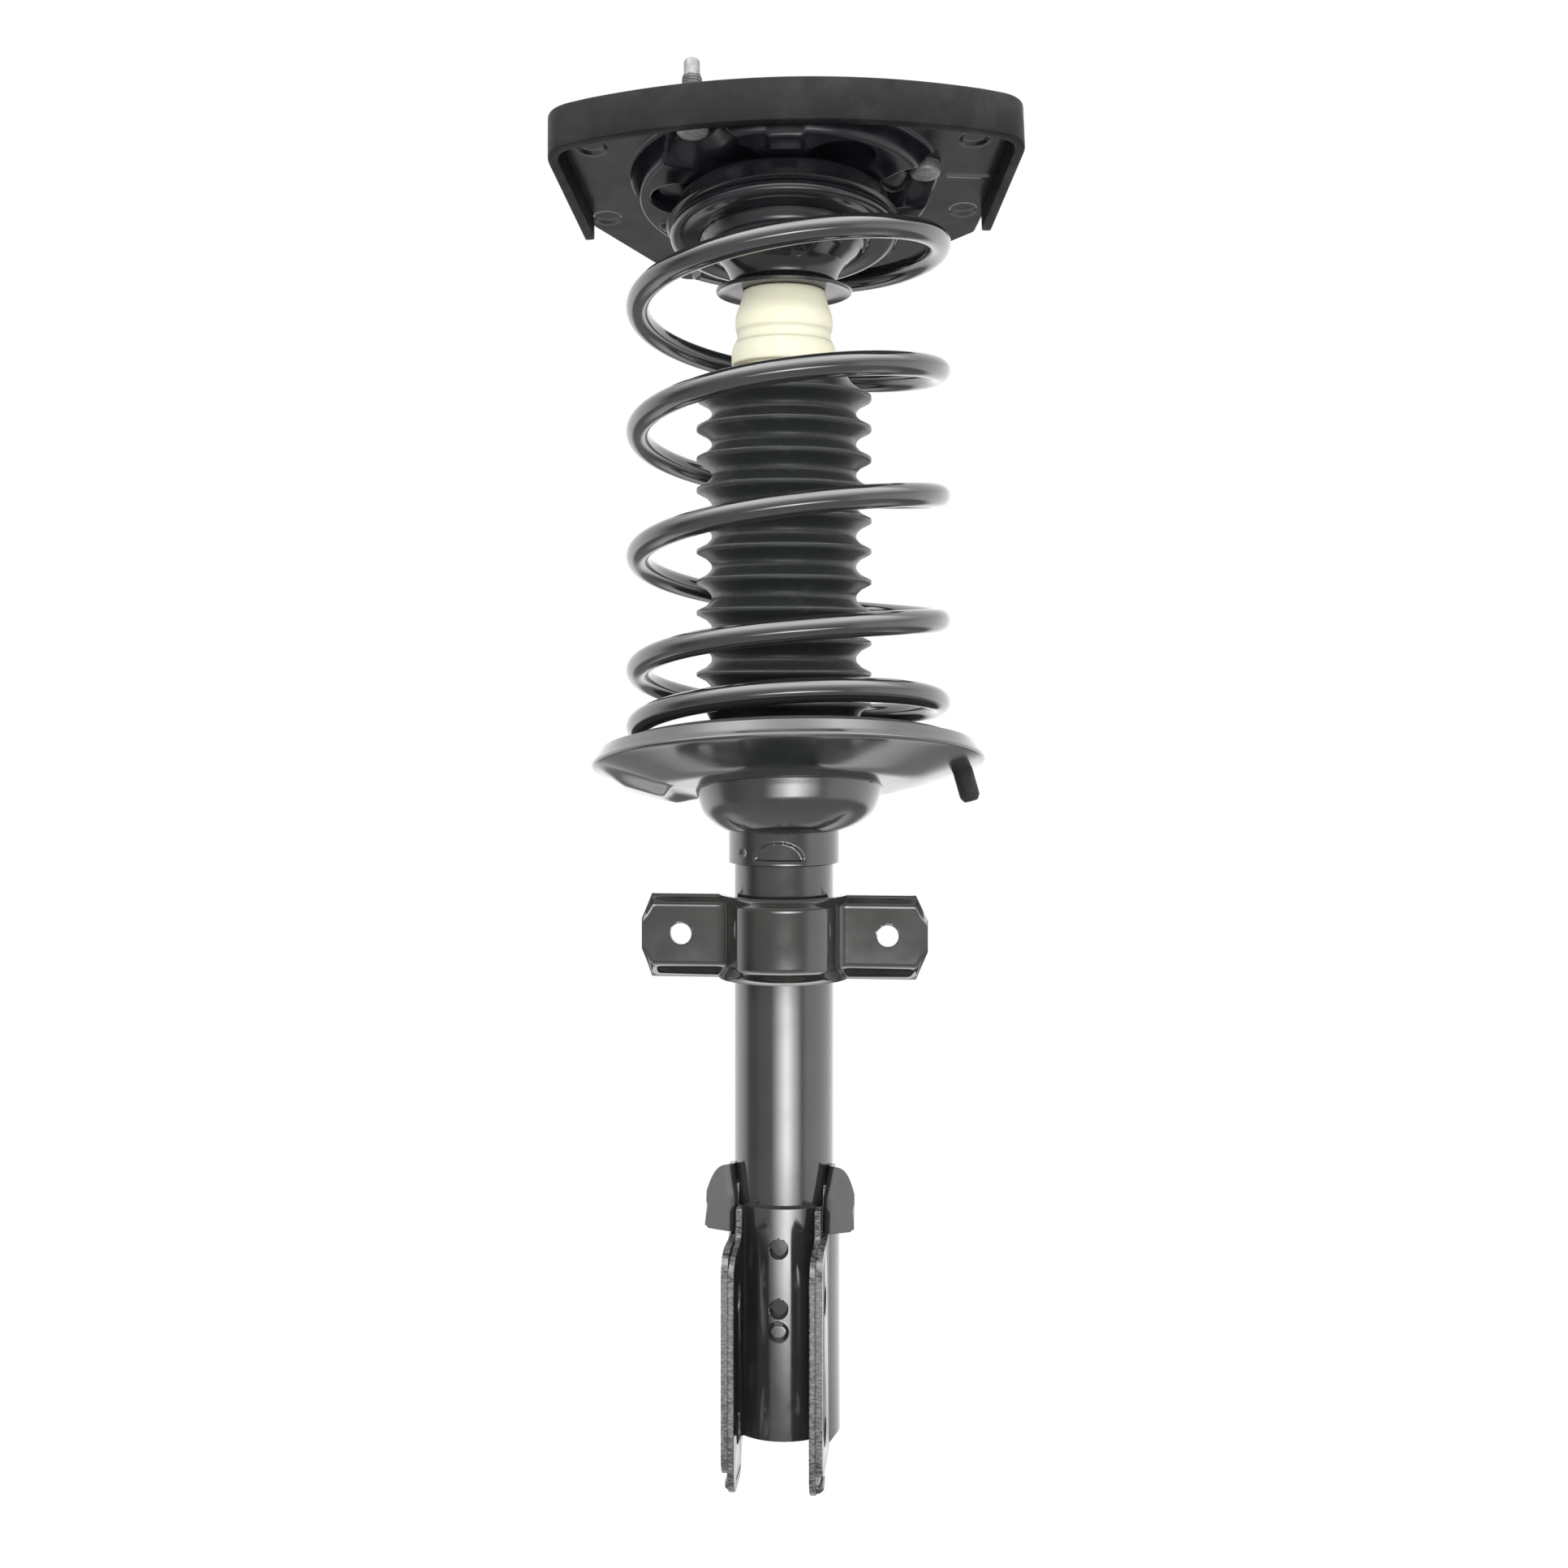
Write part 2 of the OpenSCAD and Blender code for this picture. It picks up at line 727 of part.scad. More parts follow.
module rod_seal() {
    color(RUBBER)
    tube(tube_in_r - joint_gap, rod_r + joint_gap, tube_top - seal_depth, tube_top - tube_wall - joint_gap);
}

bush_wall = 1.5;

module rod_guide() {
    color(ZINC)
    difference() {
        union() {
            disc(tube_in_r - joint_gap, tube_top - seal_depth - guide_flange_h, tube_top - seal_depth - joint_gap);
            disc(bore_r - joint_gap, guide_bottom, tube_top - seal_depth - guide_flange_h);
        }
        disc(rod_r + joint_gap + bush_wall, guide_bottom - eps, tube_top);
    }
}

module guide_bushing() {
    color([0.6, 0.45, 0.25])
    tube(rod_r + bush_wall, rod_r + joint_gap, guide_bottom + 1, tube_top - seal_depth - 1);
}

cap_rise = 6;
foot_h = 20;
foot_bottom = tube_bottom + cap_rise + 2;
foot_top = foot_bottom + foot_h;
bore_foot = foot_bottom + 12;

module pressure_tube() {
    color(ZINC)
    tube(bore_r + bore_wall, bore_r, bore_foot, tube_top - seal_depth - guide_flange_h - joint_gap);
}

foot_stem_r = 4;

// Foot valve: ported body that closes the pressure tube, with a headed stem over its check plate
module foot_valve() {
    color(ZINC) {
        difference() {
            union() {
                disc(bore_r + bore_wall + 1, foot_bottom, bore_foot - joint_gap);
                disc(bore_r - joint_gap, bore_foot - eps, foot_top);
            }
            for (k = [0:ports - 1])
                rotate([0, 0, 360 * k / ports])
                    translate([port_ring_r, 0, 0]) disc(port_r, foot_bottom - eps, foot_top + eps);
        }
        disc(foot_stem_r, foot_top - eps, foot_top + 6);
        disc(foot_stem_r + 3, foot_top + plate_gap + check_t + valve_lift, foot_top + 6);
    }
}

module foot_check_plate() {
    color(ZINC)
    tube(bore_r - 1.5, foot_stem_r + 2 * joint_gap, foot_top + plate_gap, foot_top + plate_gap + check_t);
}

module base_cap() {
    color(STEEL)
    difference() {
        disc(tube_in_r - joint_gap, tube_bottom, tube_bottom + cap_rise);
        translate([0, 0, tube_bottom - 60]) cylinder(h = 60 + 3, r1 = 0, r2 = tube_in_r - 6);
    }
    color(STEEL)
    tube(bore_r + bore_wall + 4, bore_r - 4, tube_bottom + cap_rise - eps, foot_bottom - joint_gap);
}

// ---- lower spring seat ----

seat_r = seat_d / 2;
bowl_r = bowl_d / 2;
bowl_z = seat_z - 15;
neck_z = seat_z - 32;
rim_r = seat_r - 8.5;
rim_h = 7.5;
collar_r = tube_r + 3;
dish_floor = -10.5;
pocket_from = 133;
pocket_arc = 52;
pocket_drop = 4;
pocket_half = 16;
pocket_rise = 8.5;
peg_angle = -8;
peg_ring_r = seat_r - 10;

dish_path = path([
    [bowl_r - 5, dish_floor, 0],
    [coil_r - 12, dish_floor + 0.5, 6],
    [seat_r - seat_t / 2, 0, 0],
    [rim_r, rim_h, 0]]);
bowl_path = path([
    [bowl_r, seat_z + 30, 0],
    [bowl_r, bowl_z - 6, 8],
    [bowl_r - 10, neck_z + 2, 5],
    [collar_r + 2 * joint_gap, neck_z + 2 * joint_gap, 0]]);
pocket_path = path([
    [coil_r - pocket_half, dish_floor, 0],
    [coil_r - 12, dish_floor - pocket_drop, 4],
    [coil_r + 4, dish_floor - pocket_drop + 1, 5],
    [coil_r + pocket_half, dish_floor + pocket_rise, 0]]);

module spring_seat() {
    color(STEEL)
    difference() {
        union() {
            on_tilt(seat_z, coil_shift) {
                rotate_extrude() polygon(sheet(dish_path, seat_t));
                rotate([0, 0, pocket_from]) rotate_extrude(angle = pocket_arc)
                    polygon(shifted(pocket_path, -seat_t / 2));
            }
            difference() {
                rotate_extrude() polygon(sheet(bowl_path, seat_t));
                on_tilt(seat_z, coil_shift) disc(seat_r, dish_floor, seat_r);
            }
        }
        on_tilt(seat_z, coil_shift) {
            rotate([0, 0, pocket_from + 2]) rotate_extrude(angle = pocket_arc - 4)
                polygon(concat(shifted(pocket_path, seat_t / 2), [[coil_r, dish_floor + 10]]));
            rotate([0, 0, peg_angle]) translate([peg_ring_r, 0, 0]) disc(peg_d / 2 + soft_gap, -20, 20);
        }
    }
}

weld_collar_h = 18;
edge_break = 1.2;
notch_w = 27;

// Collar welded round the tube under the seat, with a half-round weld notch in front
module seat_collar() {
    color(STEEL)
    difference() {
        rotate_extrude() polygon([
            [tube_r + joint_gap, neck_z - weld_collar_h],
            [collar_r - edge_break, neck_z - weld_collar_h],
            [collar_r, neck_z - weld_collar_h + edge_break],
            [collar_r, neck_z - joint_gap],
            [tube_r + joint_gap, neck_z - joint_gap]]);
        translate([0, -tube_r - 1.6, neck_z - weld_collar_h - 2])
            rotate([90, 0, 0]) cylinder(h = 10, r = notch_w / 2);
    }
}

insulator_in_r = coil_r - 12;
insulator_out_r = seat_r - 14;

module lower_insulator() {
    color(RUBBER)
    on_tilt(seat_z, coil_shift) {
        rotate_extrude() polygon([
            [insulator_in_r, dish_floor + 1 + seat_t / 2 + soft_gap],
            [seat_r - 5, -0.6 + seat_t / 2 + soft_gap],
            [seat_r - 7.4, 3.8],
            [insulator_out_r + 3, insulator_top - 4],
            [insulator_out_r, insulator_top],
            [insulator_in_r + 3, insulator_top],
            [insulator_in_r, insulator_top - 3]]);
        rotate([0, 0, peg_angle]) translate([peg_ring_r, 0, 0]) {
            disc(peg_d / 2, -peg_l, 2);
            disc(peg_d / 2 - 1, -peg_l - 1.5, -peg_l);
        }
    }
}

// ---- hose bracket: half band with two lipped ears ----

hose_z = -hose_drop;
band_in_r = tube_r + joint_gap;
lip_depth = 5;
ear_cut_x = 6;
ear_cut_z = 13.5;

hose_corner_w = hose_w / 2 - ear_cut_x;
hose_corner_h = hose_h / 2 - ear_cut_z;
hose_face = [
    [hose_w / 2, hose_corner_h], [hose_corner_w, hose_h / 2],
    [-hose_corner_w, hose_h / 2], [-hose_w / 2, hose_corner_h],
    [-hose_w / 2, -hose_corner_h], [-hose_corner_w, -hose_h / 2],
    [hose_corner_w, -hose_h / 2], [hose_w / 2, -hose_corner_h]];

// Plan of the bracket: a half band round the front of the tube between two ears
module hose_plan(depth, width) {
    difference() {
        union() {
            circle(r = band_in_r + hose_t + depth);
            translate([-width / 2, -hose_t / 2 - depth]) square([width, hose_t + depth]);
        }
        circle(r = band_in_r);
        translate([-tube_d, hose_t / 2]) square([2 * tube_d, tube_d]);
    }
}

module hose_bracket() {
    color(STEEL)
    difference() {
        union() {
            intersection() {
                translate([0, 0, hose_z - hose_h / 2]) linear_extrude(hose_h) hose_plan(0, hose_w);
                translate([0, hose_w / 2, hose_z])
                    rotate([90, 0, 0]) linear_extrude(hose_w) polygon(hose_face);
            }
            for (z = [hose_z - hose_h / 2, hose_z + hose_h / 2 - hose_t])
                translate([0, 0, z]) linear_extrude(hose_t) hose_plan(lip_depth, 2 * hose_corner_w);
        }
        for (s = [-1, 1])
            translate([s * hose_hole_gap / 2, hose_t * 3, hose_z])
                rotate([90, 0, 0]) cylinder(h = hose_t * 6, d = hose_hole_d);
    }
}

// ---- knuckle bracket: outer layer round the back of the tube, inner layer round its front ----

flange_bottom = tube_bottom - 18.5;
wrap_top = tube_bottom + 128;
lip_rise = 5;
lip_h = 34;
wrap_bottom = tube_bottom - 7;
web_top = tube_bottom + 112;
web_bottom = tube_bottom - 4;
flange_top = tube_bottom + 95;
wrap_in_r = tube_r + joint_gap;
inner_x = knuckle_gap / 2 + knuckle_t / 2;
outer_x = inner_x + knuckle_t;
inner_half_w = knuckle_gap / 2 + knuckle_t - joint_gap;
outer_join = sqrt(pow(wrap_in_r, 2) - pow(outer_x - knuckle_t / 2, 2));
inner_join = sqrt(pow(wrap_in_r, 2) - pow(inner_x - knuckle_t / 2, 2));
lip_reach = tube_r + 1;
bolt_zs = [flange_bottom + bolt_rise, flange_bottom + bolt_rise + bolt_gap];

module bolt_holes() {
    for (z = bolt_zs)
        translate([-lips_w, -bolt_reach, z]) rotate([0, 90, 0]) cylinder(h = 2 * lips_w, d = bolt_d);
}

// Plan of each layer, extruded and then cut to its outline seen from the side
module flange_plan(x, front, back) {
    for (side = [-1, 1])
        translate([side * x - knuckle_t / 2, -front]) square([knuckle_t, front - back]);
}

module outer_plan() {
    difference() {
        union() {
            difference() {
                circle(r = wrap_in_r + knuckle_t);
                translate([-tube_d, -2 * tube_d - outer_join]) square(2 * tube_d);
            }
            flange_plan(outer_x, flange_reach, outer_join - 1);
        }
        circle(r = wrap_in_r);
    }
}

module inner_plan() {
    difference() {
        union() {
            intersection() {
                circle(r = wrap_in_r + knuckle_t);
                translate([-inner_half_w, -2 * tube_d - inner_join]) square([2 * inner_half_w, 2 * tube_d]);
            }
            flange_plan(inner_x - joint_gap, flange_reach + 1.5, inner_join - 1);
        }
        circle(r = wrap_in_r);
    }
}

outer_side = loop([
    [tube_d, wrap_top - 8, 0],
    [tube_d, wrap_bottom, 0],
    [-10, wrap_bottom, 3],
    [-16, flange_bottom + 8.5, 3],
    [-flange_reach, flange_bottom + 8.5, 12],
    [-flange_reach, flange_top + 4, 14],
    [-lip_reach + 1, wrap_top - 30, 4],
    [-lip_reach + 1, wrap_top, 0],
    [-8, wrap_top, 0]]);
inner_side = loop([
    [0, web_top, 0],
    [0, web_bottom, 0],
    [-tube_r - 4.5, web_bottom, 2],
    [-tube_r - 8.5, flange_bottom, 5],
    [-flange_reach - 1.5, flange_bottom, 12],
    [-flange_reach - 1.5, flange_top, 12],
    [-tube_r - 6, flange_top + 3, 3],
    [-tube_r - 4, web_top, 0]]);

module side_cut(outline) {
    rotate([90, 0, 90]) translate([0, 0, -lips_w]) linear_extrude(2 * lips_w) polygon(outline);
}

lip_face = loop([
    [outer_x - knuckle_t / 2, wrap_top + lip_rise - 1.5, 0],
    [outer_x + 7, wrap_top + lip_rise, 4],
    [lips_w / 2, wrap_top + lip_rise - lip_h / 4, 4],
    [lips_w / 2 - 0.5, wrap_top + lip_rise - lip_h / 2, 4],
    [lips_w / 2 - 3, wrap_top + lip_rise - lip_h + 2, 3],
    [outer_x - knuckle_t / 2, wrap_top + lip_rise - lip_h, 0]]);
sight_hole_r = 2;

module knuckle_bracket_outer() {
    color(STEEL)
    difference() {
        union() {
            intersection() {
                translate([0, 0, flange_bottom]) linear_extrude(wrap_top - flange_bottom) outer_plan();
                side_cut(outer_side);
            }
            for (s = [0, 1])
                mirror([s, 0, 0])
                    translate([0, -lip_reach + knuckle_t, 0])
                        rotate([90, 0, 0]) linear_extrude(knuckle_t) polygon(lip_face);
        }
        bolt_holes();
        disc(tube_r + joint_gap, flange_bottom, wrap_top + lip_rise + eps);
        translate([tube_r - 4, 0, wrap_top - 33]) rotate([0, 90, 0]) cylinder(h = 12, r = sight_hole_r);
    }
}

web_hole_d = 10;
web_holes = [web_top - 20, web_top - 50];
boss_drop = 61;
boss_z = web_top - boss_drop;
boss_r = 4.6;
boss_h = 1.2;

module knuckle_bracket_inner() {
    color(STEEL)
    difference() {
        union() {
            intersection() {
                translate([0, 0, flange_bottom]) linear_extrude(web_top - flange_bottom) inner_plan();
                side_cut(inner_side);
            }
            translate([0, -tube_r - 1, boss_z])
                rotate([90, 0, 0]) cylinder(h = knuckle_t + boss_h - 1, r = boss_r);
            for (s = [0, 1])
                mirror([s, 0, 0])
                    translate([inner_x - knuckle_t / 2, -flange_reach + 10, flange_bottom])
                        cube([2 * knuckle_t, flange_reach - tube_r - 20.5, knuckle_t]);
        }
        bolt_holes();
        for (z = web_holes)
            translate([0, -tube_r / 2, z]) rotate([90, 0, 0]) cylinder(h = tube_r, d = web_hole_d);
        disc(tube_r + joint_gap, flange_bottom, web_top + eps);
    }
}

mount_plate();
rim_seal();
tower_studs();
spring_pilot();
pilot_bell();
upper_insulator();
bushing_shell();
mount_bushing();
bushing_sleeve();
top_washer();
rod_nut();
stop_washer();
bump_stop();
piston_rod();
rebound_ring();
rebound_bumper();
piston();
piston_band();
piston_check_plate();
piston_nut();
coil_spring();
dust_boot();
strut_tube();
bump_cap();
rod_seal();
rod_guide();
guide_bushing();
pressure_tube();
foot_valve();
foot_check_plate();
base_cap();
spring_seat();
seat_collar();
lower_insulator();
hose_bracket();
knuckle_bracket_outer();
knuckle_bracket_inner();
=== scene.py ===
import json
import math

import bmesh
import bpy
from mathutils import Matrix, Vector, noise

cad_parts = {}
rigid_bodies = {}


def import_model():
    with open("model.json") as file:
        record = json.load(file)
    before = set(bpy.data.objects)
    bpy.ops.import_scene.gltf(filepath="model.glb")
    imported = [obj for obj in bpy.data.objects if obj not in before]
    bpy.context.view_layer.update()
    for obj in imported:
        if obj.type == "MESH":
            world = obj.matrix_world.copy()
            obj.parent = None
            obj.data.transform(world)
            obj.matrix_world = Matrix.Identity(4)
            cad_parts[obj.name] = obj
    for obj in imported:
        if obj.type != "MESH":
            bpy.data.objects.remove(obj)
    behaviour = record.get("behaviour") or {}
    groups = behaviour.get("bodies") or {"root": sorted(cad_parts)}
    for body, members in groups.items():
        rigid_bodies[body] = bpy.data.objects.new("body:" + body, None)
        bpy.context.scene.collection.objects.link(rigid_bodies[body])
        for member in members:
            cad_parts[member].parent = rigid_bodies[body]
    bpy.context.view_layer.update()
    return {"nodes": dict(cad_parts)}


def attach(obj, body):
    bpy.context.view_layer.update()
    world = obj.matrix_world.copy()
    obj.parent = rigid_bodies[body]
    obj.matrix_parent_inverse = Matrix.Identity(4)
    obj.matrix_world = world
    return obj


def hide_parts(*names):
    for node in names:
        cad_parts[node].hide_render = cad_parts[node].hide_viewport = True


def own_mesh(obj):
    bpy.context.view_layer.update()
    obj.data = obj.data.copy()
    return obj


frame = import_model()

# ---- Tower mount plate ----
# The plate that bolts up against the body's strut tower. It is deep-drawn from 3 mm steel with a
# round dome, a ring of pockets in the dome's floor and four dimples, then dip coated black.


def turn(axis, degrees):
    return Matrix.Rotation(math.radians(degrees), 4, axis)


def ease(low, high, value):
    share = min(max((value - low) / (high - low), 0.0), 1.0)
    return share * share * (3 - 2 * share)


def grid_faces(rows, columns, close_rows=False, close_columns=True):
    faces = []
    for row in range(rows if close_rows else rows - 1):
        for column in range(columns if close_columns else columns - 1):
            right = (column + 1) % columns
            above = (row + 1) % rows
            faces.append((row * columns + column, row * columns + right,
                          above * columns + right, above * columns + column))
    return faces


def capped_tube(rows, columns):
    """Faces of a tube of rings, with both ends closed."""
    last = (rows - 1) * columns
    return grid_faces(rows, columns) + [tuple(range(columns)), tuple(range(last, last + columns))]


def capped_sheet(rows, columns):
    """Faces of a sheet whose rows run round it, with both side edges closed."""
    edge = [row * columns for row in range(rows)]
    return grid_faces(rows, columns, close_rows=True, close_columns=False) + [
        tuple(edge), tuple(index + columns - 1 for index in edge)]


def angles_round(count):
    return [2 * math.pi * k / count for k in range(count)]


def round_point(radius, angle, height):
    return Vector((radius * math.cos(angle), radius * math.sin(angle), height))


def add_object(name, data):
    added = bpy.data.objects.new(name, data)
    bpy.context.scene.collection.objects.link(added)
    return added


def make_piece(name, points_mm, faces, body, finish, nodes=(), crease=35.0):
    mesh = bpy.data.meshes.new(name)
    mesh.from_pydata([Vector(point) / 1000 for point in points_mm], [], faces)
    work = bmesh.new()
    work.from_mesh(mesh)
    bmesh.ops.remove_doubles(work, verts=work.verts, dist=1e-7)
    bmesh.ops.dissolve_degenerate(work, edges=work.edges, dist=1e-7)
    bmesh.ops.recalc_face_normals(work, faces=work.faces)
    work.to_mesh(mesh)
    work.free()
    mesh.polygons.foreach_set("use_smooth", [True] * len(mesh.polygons))
    mesh.set_sharp_from_angle(angle=math.radians(crease))
    mesh.materials.append(finish)
    piece = add_object(name, mesh)
    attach(piece, body)
    if nodes:
        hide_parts(*nodes)
    return piece


def break_edges(piece, width_mm, angle):
    bevel = piece.modifiers.new("edge", "BEVEL")
    bevel.width = width_mm / 1000
    bevel.segments = 2
    bevel.limit_method = "ANGLE"
    bevel.angle_limit = math.radians(angle)


class Finish:
    """A node material: layers of noise drive the colour, the roughness and the bump."""

    def __init__(self, name, **sockets):
        self.material = bpy.data.materials.new(name)
        self.material.use_nodes = True
        self.nodes = self.material.node_tree.nodes
        self.links = self.material.node_tree.links
        self.shader = self.nodes["Principled BSDF"]
        self.place = self.nodes.new("ShaderNodeTexCoord").outputs["Object"]
        for socket, value in sockets.items():
            self.shader.inputs[socket.replace("_", " ")].default_value = value

    def noise(self, size_mm, detail=4.0, stretch=(1, 1, 1), rough=0.55):
        mapping = self.nodes.new("ShaderNodeMapping")
        mapping.inputs["Scale"].default_value = stretch
        self.links.new(self.place, mapping.inputs["Vector"])
        texture = self.nodes.new("ShaderNodeTexNoise")
        texture.inputs["Scale"].default_value = 1000.0 / size_mm
        texture.inputs["Detail"].default_value = detail
        texture.inputs["Roughness"].default_value = rough
        self.links.new(mapping.outputs["Vector"], texture.inputs["Vector"])
        return texture.outputs["Fac"]

    def specks(self, size_mm, low, high):
        texture = self.nodes.new("ShaderNodeTexVoronoi")
        texture.inputs["Scale"].default_value = 1000.0 / size_mm
        self.links.new(self.place, texture.inputs["Vector"])
        return self.spread(texture.outputs["Distance"], low, high, 1.0, 0.0)

    def spread(self, source, low=0.3, high=0.7, from_value=0.0, to_value=1.0):
        remap = self.nodes.new("ShaderNodeMapRange")
        for socket, value in zip(("From Min", "From Max", "To Min", "To Max"),
                                 (low, high, from_value, to_value)):
            remap.inputs[socket].default_value = value
        self.links.new(source, remap.inputs["Value"])
        return remap.outputs["Result"]

    def blend(self, share, first, second):
        mix = self.nodes.new("ShaderNodeMix")
        mix.data_type = "RGBA"
        for socket, value in ((mix.inputs[6], first), (mix.inputs[7], second)):
            if isinstance(value, tuple):
                socket.default_value = (*value, 1.0)
            else:
                self.links.new(value, socket)
        self.links.new(share, mix.inputs[0])
        return mix.outputs[2]

    def set_colour(self, share, first, second):
        self.links.new(self.blend(share, first, second), self.shader.inputs["Base Color"])

    def set_roughness(self, source, low, high):
        self.links.new(self.spread(source, from_value=low, to_value=high), self.shader.inputs["Roughness"])

    def bump(self, *layers):
        last = None
        for height, depth_mm, strength in layers:
            node = self.nodes.new("ShaderNodeBump")
            node.inputs["Strength"].default_value = strength
            node.inputs["Distance"].default_value = depth_mm / 1000
            self.links.new(height, node.inputs["Height"])
            if last:
                self.links.new(last, node.inputs["Normal"])
            last = node.outputs["Normal"]
        self.links.new(last, self.shader.inputs["Normal"])


def dip_coat(name, dark, light, gloss_low, gloss_high, peel_mm=0.02, **sockets):
    """Black electro-dip paint: near black, orange peel, a few dust pips and duller patches."""
    coat = Finish(name, **{"IOR": 1.85, "Coat_Weight": 0.35, "Coat_Roughness": 0.12, **sockets})
    cloud = coat.noise(26, 3)
    coat.set_colour(coat.spread(cloud, 0.35, 0.7), dark, light)
    coat.set_roughness(coat.noise(14, 5), gloss_low, gloss_high)
    coat.bump((coat.noise(4.5, 1), peel_mm, 0.12), (coat.specks(26, 0.015, 0.03), 0.02, 0.12),
              (coat.noise(30, 2), 0.2, 0.2))
    return coat.material


TILT_DEGREES = 10
TILT_TURN = 12
TILT = math.radians(TILT_DEGREES)
LEAN = turn("Z", TILT_TURN) @ turn("X", -TILT_DEGREES)
MOUNT = LEAN @ turn("Z", -7)
SHEET_MM = 3.0
DOME_DEPTH = 16.0
DOME_R = 79.0
DOME_SHIFT = 3.2
OUTLINE_SHIFT = 1.3
WELL_R = 33.5
STUD_RING_R = 72.5
STUD_ANGLES = (-7, 113, 233)
POCKET_RING_R = 52.0
POCKET_ANGLES = (-123.5, -56.5)
POCKET_RISE = 6.0
PAD_RING_R = 64.0
PAD_RISE = 0.35
DIMPLES = ((95, -34), (96, 45))
DIMPLE_RISE = 1.5
BEAD_DROP = 0.5
HALF_W = 118.0
FRONT_Y = -81.0
FRONT_BOW = 574.0
SIDE_SLOPE = 0.085
PLATE_INSET = 3.0


def front_y(x):
    return FRONT_Y + x * x / FRONT_BOW


def side_x(y):
    return HALF_W - SIDE_SLOPE * (-FRONT_Y - 25 + y)


def side_of(start, end):
    return Vector((start.y - end.y, end.x - start.x)).normalized()


def offset_path(path, distance):
    """The path moved sideways by distance, with mitred corners."""
    moved = []
    for i, point in enumerate(path):
        before = side_of(path[max(i - 1, 0)], path[max(i, 1)])
        after = side_of(path[min(i, len(path) - 2)], path[min(i + 1, len(path) - 1)])
        mitre = (before + after).normalized()
        moved.append(point + mitre * (distance / max(mitre.dot(before), 0.3)))
    return moved


def round_corner(before, corner, after, reach, steps):
    """A curve in place of a corner; it begins and ends at reach from the corner."""
    start = corner + (before - corner).normalized() * reach
    end = corner + (after - corner).normalized() * reach
    shares = [k / steps for k in range(steps + 1)]
    return [start * (1 - s) ** 2 + corner * (2 * s * (1 - s)) + end * s * s for s in shares]


def closed_loop(points, steps):
    """A closed outline of points (x, y, how far the corner is rounded)."""
    corners = [Vector(point[:2]) for point in points]
    loop = []
    for i, corner in enumerate(corners):
        after = corners[(i + 1) % len(corners)]
        reach = points[i][2]
        loop += round_corner(corners[i - 1], corner, after, reach, steps) if reach else [corner]
    return loop


def round_path(points, steps=6):
    """An open line of such points, whose two ends stay sharp."""
    first, last = (*points[0][:2], 0), (*points[-1][:2], 0)
    return closed_loop([first, *points[1:-1], last], steps)


def band_path(back, steps=6):
    """Outer face of the rubber band, from its left end round the front to its right end."""
    corner_y = front_y(HALF_W) + 0.5
    points = [(-side_x(back), back, 0), (-HALF_W, corner_y, 15)]
    for k in range(25):
        x = (HALF_W - 23) * (k / 12 - 1)
        points.append((x, front_y(x), 0))
    return round_path(points + [(HALF_W, corner_y, 15), (side_x(back), back, 0)], steps)


lobe_x = side_x(47) - 6
plate_rear = round_path([(lobe_x, 73, 0), (lobe_x - 13, 86, 5), (78, 102, 4), (62, 129, 4),
                         (-62, 129, 4), (-78, 102, 0)])
plate_outline = offset_path(band_path(55), PLATE_INSET) + plate_rear


def outline_radius(angle):
    """Distance from the rod axis to the plate's edge in one direction."""
    ray = Vector((math.cos(angle), math.sin(angle)))
    shift = Vector((OUTLINE_SHIFT, 0))
    reach = 0.0
    for i, point in enumerate(plate_outline):
        start = point + shift
        run = plate_outline[(i + 1) % len(plate_outline)] - point
        across = run.cross(ray)
        if abs(across) > 1e-9:
            share = -start.cross(ray) / across
            if -1e-6 <= share <= 1 + 1e-6:
                reach = max(reach, (start + run * share).dot(ray))
    return reach


def spot_on_ring(radius, degrees):
    return Vector((radius * math.cos(math.radians(degrees)), radius * math.sin(math.radians(degrees))))


stud_spots = [spot_on_ring(STUD_RING_R, angle) for angle in STUD_ANGLES]
pocket_spots = [spot_on_ring(POCKET_RING_R, angle + 120 * k) for angle in POCKET_ANGLES for k in range(3)]
dimple_spots = [Vector((side * x, y)) for x, y in DIMPLES for side in (-1, 1)]


def plate_drop(x, y):
    """How far the plate's sheet lies under the tower face at one place."""
    spot = Vector((x, y))
    from_dome = math.hypot(x, y - DOME_SHIFT)
    dome = 1 - ease(DOME_R - 5.5, DOME_R + 0.5, from_dome)
    depth = DOME_DEPTH - SHEET_MM
    for stud in stud_spots:
        dome = min(dome, ease(10.5, 24.0, (spot - stud).length))
    pressed = 0.0
    for pocket in pocket_spots:
        pressed = max(pressed, 1 - ease(12.0, 17.5, (spot - pocket).length))
    for k in range(3):
        pad = turn("Z", 89 - 120 * k).to_2x2() @ spot
        beside_pad = 1 - ease(7.5, 9.5, abs(pad.y))
        pressed -= PAD_RISE * beside_pad * (1 - ease(6.0, 8.0, abs(pad.x - PAD_RING_R)))
    drop = dome * (depth - POCKET_RISE * pressed)
    for dimple in dimple_spots:
        drop -= DIMPLE_RISE * (1 - ease(5.5, 8.0, (spot - dimple).length))
    from_bead = abs(y - 4 - 0.12 * (x - 80)) if x > 84 else 9.0
    drop += BEAD_DROP * (1 - ease(0.0, 2.0, from_bead))
    return drop


